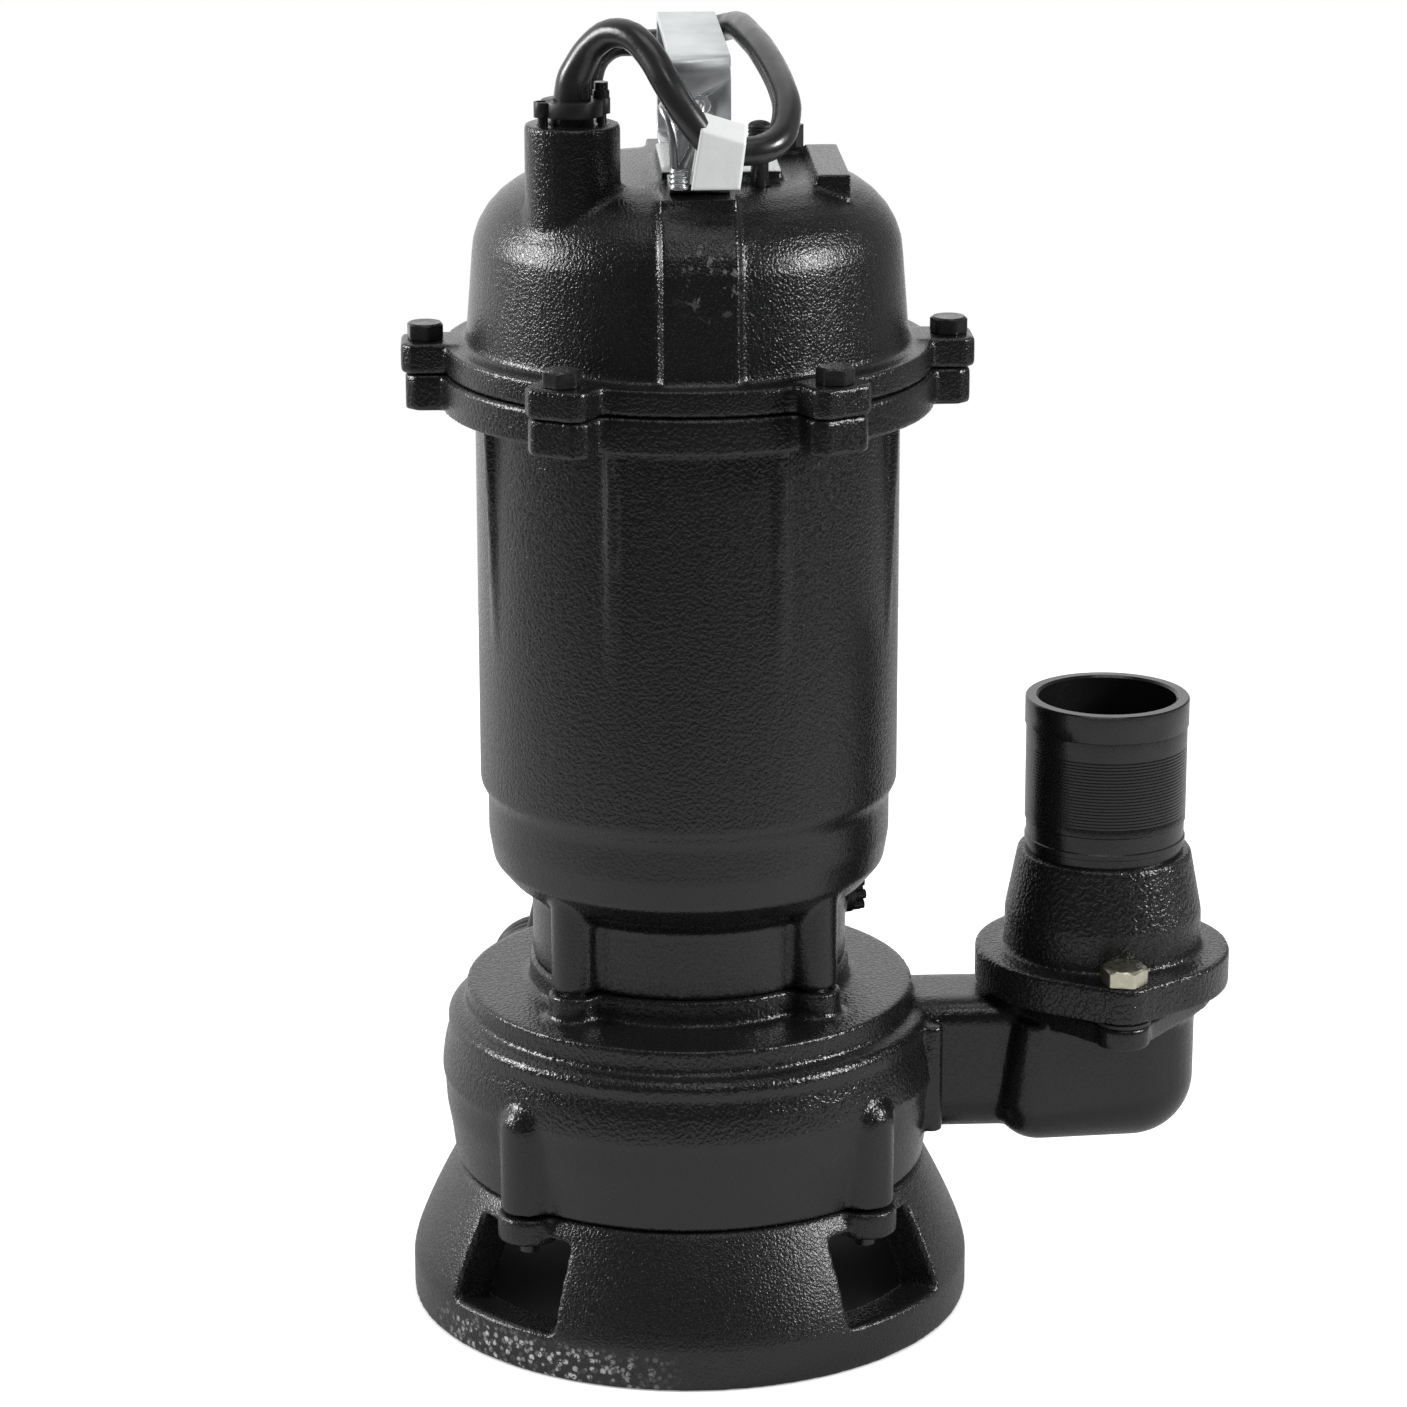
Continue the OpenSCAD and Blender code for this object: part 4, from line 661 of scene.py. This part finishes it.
CASTINGS = (
    ("stand_casting", "base_stand", 0.85, 4, stand_paint),
    ("pump_casing", "volute_casing", 0.8, 4, casing_paint),
    ("housing_casting", "motor_housing", 0.85, 2, housing_paint),
    ("cover_casting", "top_cover", 0.8, 2, cover_paint),
)
for name, node, voxel, even, paint in CASTINGS:
    finished(cast_copy(name, node, voxel, even), BODY, paint, "black_enamel", node)
cone = cast_copy("outlet_cone", "spigot", 0.7, 3, 4, top=CONE_TOP)
finished(cone, BODY, cone_paint, "black_enamel", "spigot")


def spigot_barrel():
    """The hose barrel: a turned tube with its lip, a band of fine grooves and a ring at its foot."""
    bore, wall, lip, top, foot = 21.0, 24.6, 25.0, 188.8, CONE_TOP - 1
    outline = [
        (bore, foot), (bore, top - 0.7), (bore + 0.7, top), (lip - 0.4, top), (lip, top - 0.4),
        (lip, 180.4), (lip - 0.2, 180.1), (wall, 180),
    ]
    for i in range(GROOVES):
        z = GROOVES_TOP - i * GROOVE_PITCH
        cut = wall - GROOVE_DEPTH
        outline += [(wall, z), (cut, z - 0.25), (cut, z - 0.45), (wall, z - 0.7)]
    outline += [
        (wall, 150.4), (wall - 0.35, 150), (wall - 0.4, 145.2), (wall, 144.9), (wall, 143.4),
        (wall - 0.4, 143.1), (wall - 0.4, foot),
    ]
    return lathe("hose_barrel", outline, (*SPIGOT, 0), 128)


finished(spigot_barrel(), BODY, barrel_paint, "black_enamel", "spigot")
finished(edged_copy("strap_handle", "handle", 0.5), BODY, galvanised, "galvanised", "handle")

# ---------- Screws ----------

LUG_R = 77.7              # radius of the circle of cover screws
LUG_Z = 302
EAR_R = 37                # from the spigot's axis to each outlet screw
EAR_Z = 109
HANDLE_FEET = ((1.7, -35, 356.6), (1.7, 35, 356.6))

lugs = [(LUG_R * math.cos(TURN * i / 6), LUG_R * math.sin(TURN * i / 6), LUG_Z) for i in range(6)]
ears = [
    (SPIGOT[0] - r * math.sin(OUTLET_TURN), r * math.cos(OUTLET_TURN), EAR_Z)
    for r in (-EAR_R, EAR_R)
]
cover_screws = hex_screws("cover_screws", lugs, 10, 4.9, 3, 18)
outlet_screws = hex_screws("outlet_screws", ears, 13, 5.3, 4, 18.5)
handle_screws = hex_screws("handle_screws", HANDLE_FEET, 10, 4.4, 3, 14, (6, 1.6))
finished(cover_screws, BODY, black_screw, "black_screw", "cover_bolts")
finished(outlet_screws, BODY, zinc, "zinc_bolt", "spigot_bolts")
finished(handle_screws, BODY, black_screw, "black_screw", "handle_bolts")

# ---------- Gland, post and the tape and wire on the cover ----------

POST = (19.6, -29)
FERRULE = (-4.6, -50)
FERRULE_R = 2.8
FERRULE_Z = (355, 360.8)
WIRE_R = 1.2
CAP_R = 3.4
CAP_Z = (366, 369.2)      # the ribbed part, below its dome
CAP_DOME = 1.6
RELIEF_POINTS = 23        # a millimetre apart along the cord
RELIEF_SIDES = 32
RELIEF_FOOT_R = CORD_R + 1.3
RELIEF_TIP_R = CORD_R - 0.2

finished(edged_copy("gland_ring", "gland_plate", 0.35), BODY, plastic, "black_plastic", "gland_plate")


def gland_relief():
    """The tapered sleeve where the cord leaves the gland, drawn along the cord."""
    line = eased(CORD_ROUTE, 1.0)[:RELIEF_POINTS]
    verts = []
    for i, p in enumerate(line):
        ahead = (line[min(i + 1, len(line) - 1)] - line[max(i - 1, 0)]).normalized()
        side = ahead.cross(Vector((0, 1, 0))).normalized()
        up = ahead.cross(side)
        u = i / (len(line) - 1)
        r = RELIEF_TIP_R + (RELIEF_FOOT_R - RELIEF_TIP_R) * (1 - u) ** 1.4
        for k in range(RELIEF_SIDES):
            a = TURN * k / RELIEF_SIDES
            verts.append(p + (side * math.cos(a) + up * math.sin(a)) * r)
    return mesh_object("gland_relief", verts, hull_faces(len(line), RELIEF_SIDES))


relief = finished(gland_relief(), BODY, cord_rubber, "cord_rubber")


def ribbed(r, z0, z1, count, depth):
    """The outline of a solid round piece with ribs along its height."""
    outline = [(0, z0), (r, z0)]
    step = (z1 - z0) / count
    low = r - depth
    for i in range(count):
        z = z0 + i * step
        outline += [(r, z + 0.15 * step), (r, z + 0.6 * step)]
        outline += [(low, z + 0.72 * step), (low, z + 0.88 * step)]
    return outline + [(low, z1), (0, z1)]


def cap_outline():
    """The rubber cap of the post: ribs below and a dome on top."""
    angles = [0.15 * k * math.pi / 2 for k in range(7)]
    dome = [(CAP_R * math.cos(a), CAP_Z[1] + CAP_DOME * math.sin(a)) for a in angles]
    return ribbed(CAP_R, *CAP_Z, 3, 0.3)[:-1] + dome + [(0, CAP_Z[1] + CAP_DOME)]


crimp_outline = rounded(ribbed(FERRULE_R, *FERRULE_Z, 4, 0.35), 0.12)
crimp = lathe("seal_crimp", crimp_outline, (*FERRULE, 0), 48)
finished(crimp, BODY, galvanised, "galvanised", "seal_ferrule")
wire = tube("wire_loop", eased(WIRE_ROUTE, 0.8), WIRE_R, 4)
finished(wire, BODY, steel, "grey_wire", "seal_wire")
finished(lathe("post_cap", cap_outline(), (*POST, 0), 48), BODY, rubber, "rubber", "stud_cap")

TAPE_FRONT = -61.0
TAPE_BACK = -51.7
TAPE_THICK = 0.4
TAPE_FOLD = 4.6           # how far below its top edge the tape's two sides start to close
TAPE_CORNERS = ((-1.7, 356.5), (12.2, 356.5), (1.8, 377.9), (14.4, 373.9))


def tape_point(u, side, h, inset):
    """A point of the tape: u across it, h from its bottom to its fold, and side -1 at the front and
    1 at the back. inset is how far inside its outer face the point lies."""
    a, b, c, d = (Vector(p) for p in TAPE_CORNERS)
    p = a.lerp(c, h).lerp(b.lerp(d, h), u)
    away = (1 - h) * (c - a).lerp(d - b, u).length
    deep = (TAPE_BACK - TAPE_FRONT) / 2 - inset
    y = (TAPE_FRONT + TAPE_BACK) / 2 + side * deep * min(1.0, away / TAPE_FOLD)
    if inset > 0 and side < 0:
        y += min(0.3, 0.35 * math.sin(math.pi * u) * math.sin(math.pi * min(1, 1.2 * h)))
    return (p.x, y, p.y - inset if away < 0.01 else p.y)


def white_tape():
    """The folded tape: up the front, over the fold and down the back, with its own thickness."""
    across, rise = 14, 40
    heights = [1 - (1 - i / rise) ** 1.8 for i in range(rise + 1)]
    path = [(-1, h) for h in heights] + [(1, h) for h in reversed(heights[:-1])]
    verts, faces = [], []
    for inset in (0.0, TAPE_THICK):
        for side, h in path:
            for i in range(across + 1):
                verts.append(tape_point(i / across, side, h, inset))
    row = across + 1
    rows = len(path)
    sheet = rows * row
    for r in range(rows - 1):
        for i in range(across):
            quad = (r * row + i, r * row + i + 1, (r + 1) * row + i + 1, (r + 1) * row + i)
            faces.append(quad)
            faces.append(tuple(sheet + q for q in reversed(quad)))
    for r in range(rows - 1):
        for i in (0, across):
            quad = (r * row + i, (r + 1) * row + i, sheet + (r + 1) * row + i, sheet + r * row + i)
            faces.append(quad if i == 0 else quad[::-1])
    for r in (0, rows - 1):
        for i in range(across):
            quad = (r * row + i, sheet + r * row + i, sheet + r * row + i + 1, r * row + i + 1)
            faces.append(quad if r == 0 else quad[::-1])
    obj = mesh_object("white_band", verts, faces)
    weld(obj.data, 1e-7)
    return obj


finished(white_tape(), BODY, tape, "white_tape", "cord_band")

# ---------- Plug ----------

PLUG_AT = TAIL_ROUTE[-1]
LAID = Matrix.Rotation(math.radians(90), 3, "X")


def plug_outline():
    """The plug's body along its own axis: a ribbed relief, round shoulders and a grooved grip."""
    outline = [(0, 0), (5.3, 0)]
    for i in range(6):
        z = 1.2 + 3.4 * i
        r = 5.3 + 1.7 * i / 5
        outline += [(r, z), (r, z + 2.0), (r - 0.8, z + 2.3), (r - 0.8, z + 3.1)]
    outline += [(7, 22), (11.6, 22.3), (14.2, 25.2), (15.5, 29.5)]
    for z in (33, 37):
        outline += [(15.5, z), (14.9, z + 0.5), (14.9, z + 1.6), (15.5, z + 2.1)]
    return outline + [(15.5, 42), (17, 43), (17, 59.2), (16.2, 60), (0, 60)]


PIN_OUTLINE = [(0, 60), (2.4, 60), (2.4, 77.2), (2.25, 78.1), (1.7, 78.8), (0.9, 79), (0, 79)]
PIN_SPOTS = [(PLUG_AT[0] + x, *PLUG_AT[1:]) for x in (-9.5, 9.5)]

plug = lathe("plug_grip", rounded(plug_outline(), 0.35), PLUG_AT, 72, LAID)
finished(plug, BODY, rubber, "cord_rubber", "plug_body")
pins = [lathe(f"plug_pin_{n}", PIN_OUTLINE, at, 32, LAID) for n, at in enumerate(PIN_SPOTS)]
for piece in pins:
    finished(piece, BODY, steel, "galvanised", "plug_pins")

# ---------- Nodes that keep the CAD shape ----------

KEPT = (
    (black_screw, "base_studs", "gland_screws", "cap_stud", "vent_plug"),
    (rubber, "base_seal", "spigot_gasket", "neck_seal", "oil_plug_washer", "cover_seal", "gland_seal",
     "cord_inlet", "motor_leads", "lip_seal", "seal_head"),
    (steel, "neck_bolts", "gland_washer", "capacitor_clip", "wave_washer", "upper_bearing_outer",
     "upper_bearing_inner", "lower_bearing_outer", "lower_bearing_inner", "shaft", "seal_spring",
     "impeller_key", "impeller_washer", "impeller_nut"),
    (plastic, "oil_plug", "thermal_switch"),
    (laminated, "stator_core", "rotor_core"),
    (copper, "stator_windings"),
    (ceramic, "terminal_block", "seal_seat"),
    (aluminium, "capacitor", "rotor_end_rings"),
    (grey_iron, "bearing_bracket", "impeller"),
    (brass, "upper_bearing_cage", "lower_bearing_cage"),
)
for material, *nodes in KEPT:
    for node in nodes:
        for holder in NODES[node].material_slots:
            holder.material = material

# ---------- Floor, world and lamps ----------

FLOOR_R = 0.75                    # metres, as are the floor's other sizes
FLOOR_AT = (0, 0.05, -0.0002)
STAND_EDGE = (0.083, 0.088)       # the floor is open from here outwards, about the pump's axis
# Painted shade: inside STAND_EDGE the floor is this darker grey, standing in for the shade under the stand.
FLOOR_PAINTED_SHADE = (0.3, 0.3, 0.3)
FLOOR_DARK = (0.60, 0.60, 0.60)
FLOOR_LIGHT = (0.63, 0.63, 0.63)
FLOOR_GLOW = 0.8


def make_floor():
    """A white floor. Under the stand its glow to the camera stops and its colour is a darker grey, painted
    shade, so the stand's inside is dark.
    """
    data = bpy.data.meshes.new("floor")
    work = bmesh.new()
    bmesh.ops.create_circle(work, cap_ends=True, segments=96, radius=FLOOR_R)
    work.to_mesh(data)
    work.free()
    floor = link("floor", data)
    floor.location = FLOOR_AT
    s = Shader("floor_white")
    pump_here = (0, -FLOOR_AT[1] / MM, 0)      # the floor's own coordinates start at FLOOR_AT
    open_floor = s.ramp(s.away(pump_here), *STAND_EDGE)
    lit = s.mix(s.noise(30, 3), FLOOR_DARK, FLOOR_LIGHT)
    # Under the stand the floor's colour is the painted shade grey.
    s.set(Base_Color=s.mix(open_floor, FLOOR_PAINTED_SHADE, lit), Roughness=0.9, Specular_IOR_Level=0.0)
    seen = s.maths("MULTIPLY", s.add("LightPath").outputs["Is Camera Ray"], FLOOR_GLOW)
    glow = s.add("Emission")
    s.feed(s.maths("MULTIPLY", seen, open_floor), glow.inputs["Strength"])
    both = s.add("AddShader")
    s.join(s.surface.outputs[0], both.inputs[0])
    s.join(glow.outputs[0], both.inputs[1])
    s.join(both.outputs[0], s.out.inputs["Surface"])
    data.materials.append(s.material)


SKY_BEHIND = (-0.1, 0.75, 0.08, 1.15)     # from Y, to Y, strength in front, strength behind
SKY_RIGHT = (0.15, 0.6, 1.0, 0.25)        # from X, to X, factor at the left, factor at the right
SKY_DIFFUSE = 0.4


def make_world():
    """White to the camera. What the paint mirrors is bright behind the pump, and dim in front and
    at the right."""
    world = bpy.data.worlds.new("studio")
    scene.world = world
    world.use_nodes = True
    n = Nodes(world.node_tree)
    out = n.add("OutputWorld")
    back = n.add("Background")
    back.inputs["Color"].default_value = (1, 1, 1, 1)
    rays = n.add("LightPath").outputs
    split = n.add("SeparateXYZ")
    n.join(n.add("TexCoord").outputs["Generated"], split.inputs[0])
    behind = n.ramp(split.outputs["Y"], *SKY_BEHIND)
    backdrop = n.maths("MULTIPLY", behind, n.ramp(split.outputs["X"], *SKY_RIGHT))
    diffuse = n.maths("MULTIPLY", rays["Is Diffuse Ray"], SKY_DIFFUSE)
    glossy = n.maths("MAXIMUM", rays["Is Glossy Ray"], rays["Is Transmission Ray"])
    mirrored = n.maths("MULTIPLY_ADD", glossy, backdrop, diffuse)
    n.feed(n.maths("MAXIMUM", rays["Is Camera Ray"], mirrored), back.inputs["Strength"])
    n.join(back.outputs[0], out.inputs["Surface"])


LAMPS = (
    # name, azimuth, elevation, distance, width and height in metres, power in watts
    ("softbox_left", -95, 21, 1.6, 0.45, 0.6, 25),
    ("softbox_right", 70, 23, 1.6, 0.4, 0.45, 24),
    ("softbox_front", 10, 50, 2.0, 0.5, 0.5, 3),
    ("softbox_top", 0, 80, 1.5, 0.9, 0.5, 3),
)
LAMP_AIM = (-0.02, 0, 0.22)       # metres


def softbox(name, azimuth, elevation, distance, width, height, power):
    """An area lamp aimed at the pump. Azimuth 0 is on the camera's side, 90 to its right."""
    data = bpy.data.lights.new(name, "AREA")
    data.shape = "RECTANGLE"
    data.size = width
    data.size_y = height
    data.energy = power
    lamp = link(name, data)
    a, e = math.radians(azimuth), math.radians(elevation)
    away = Vector((math.sin(a) * math.cos(e), -math.cos(a) * math.cos(e), math.sin(e)))
    lamp.location = Vector(LAMP_AIM) + away * distance
    lamp.rotation_euler = away.to_track_quat("Z", "Y").to_euler()


make_floor()
make_world()
for lamp in LAMPS:
    softbox(*lamp)
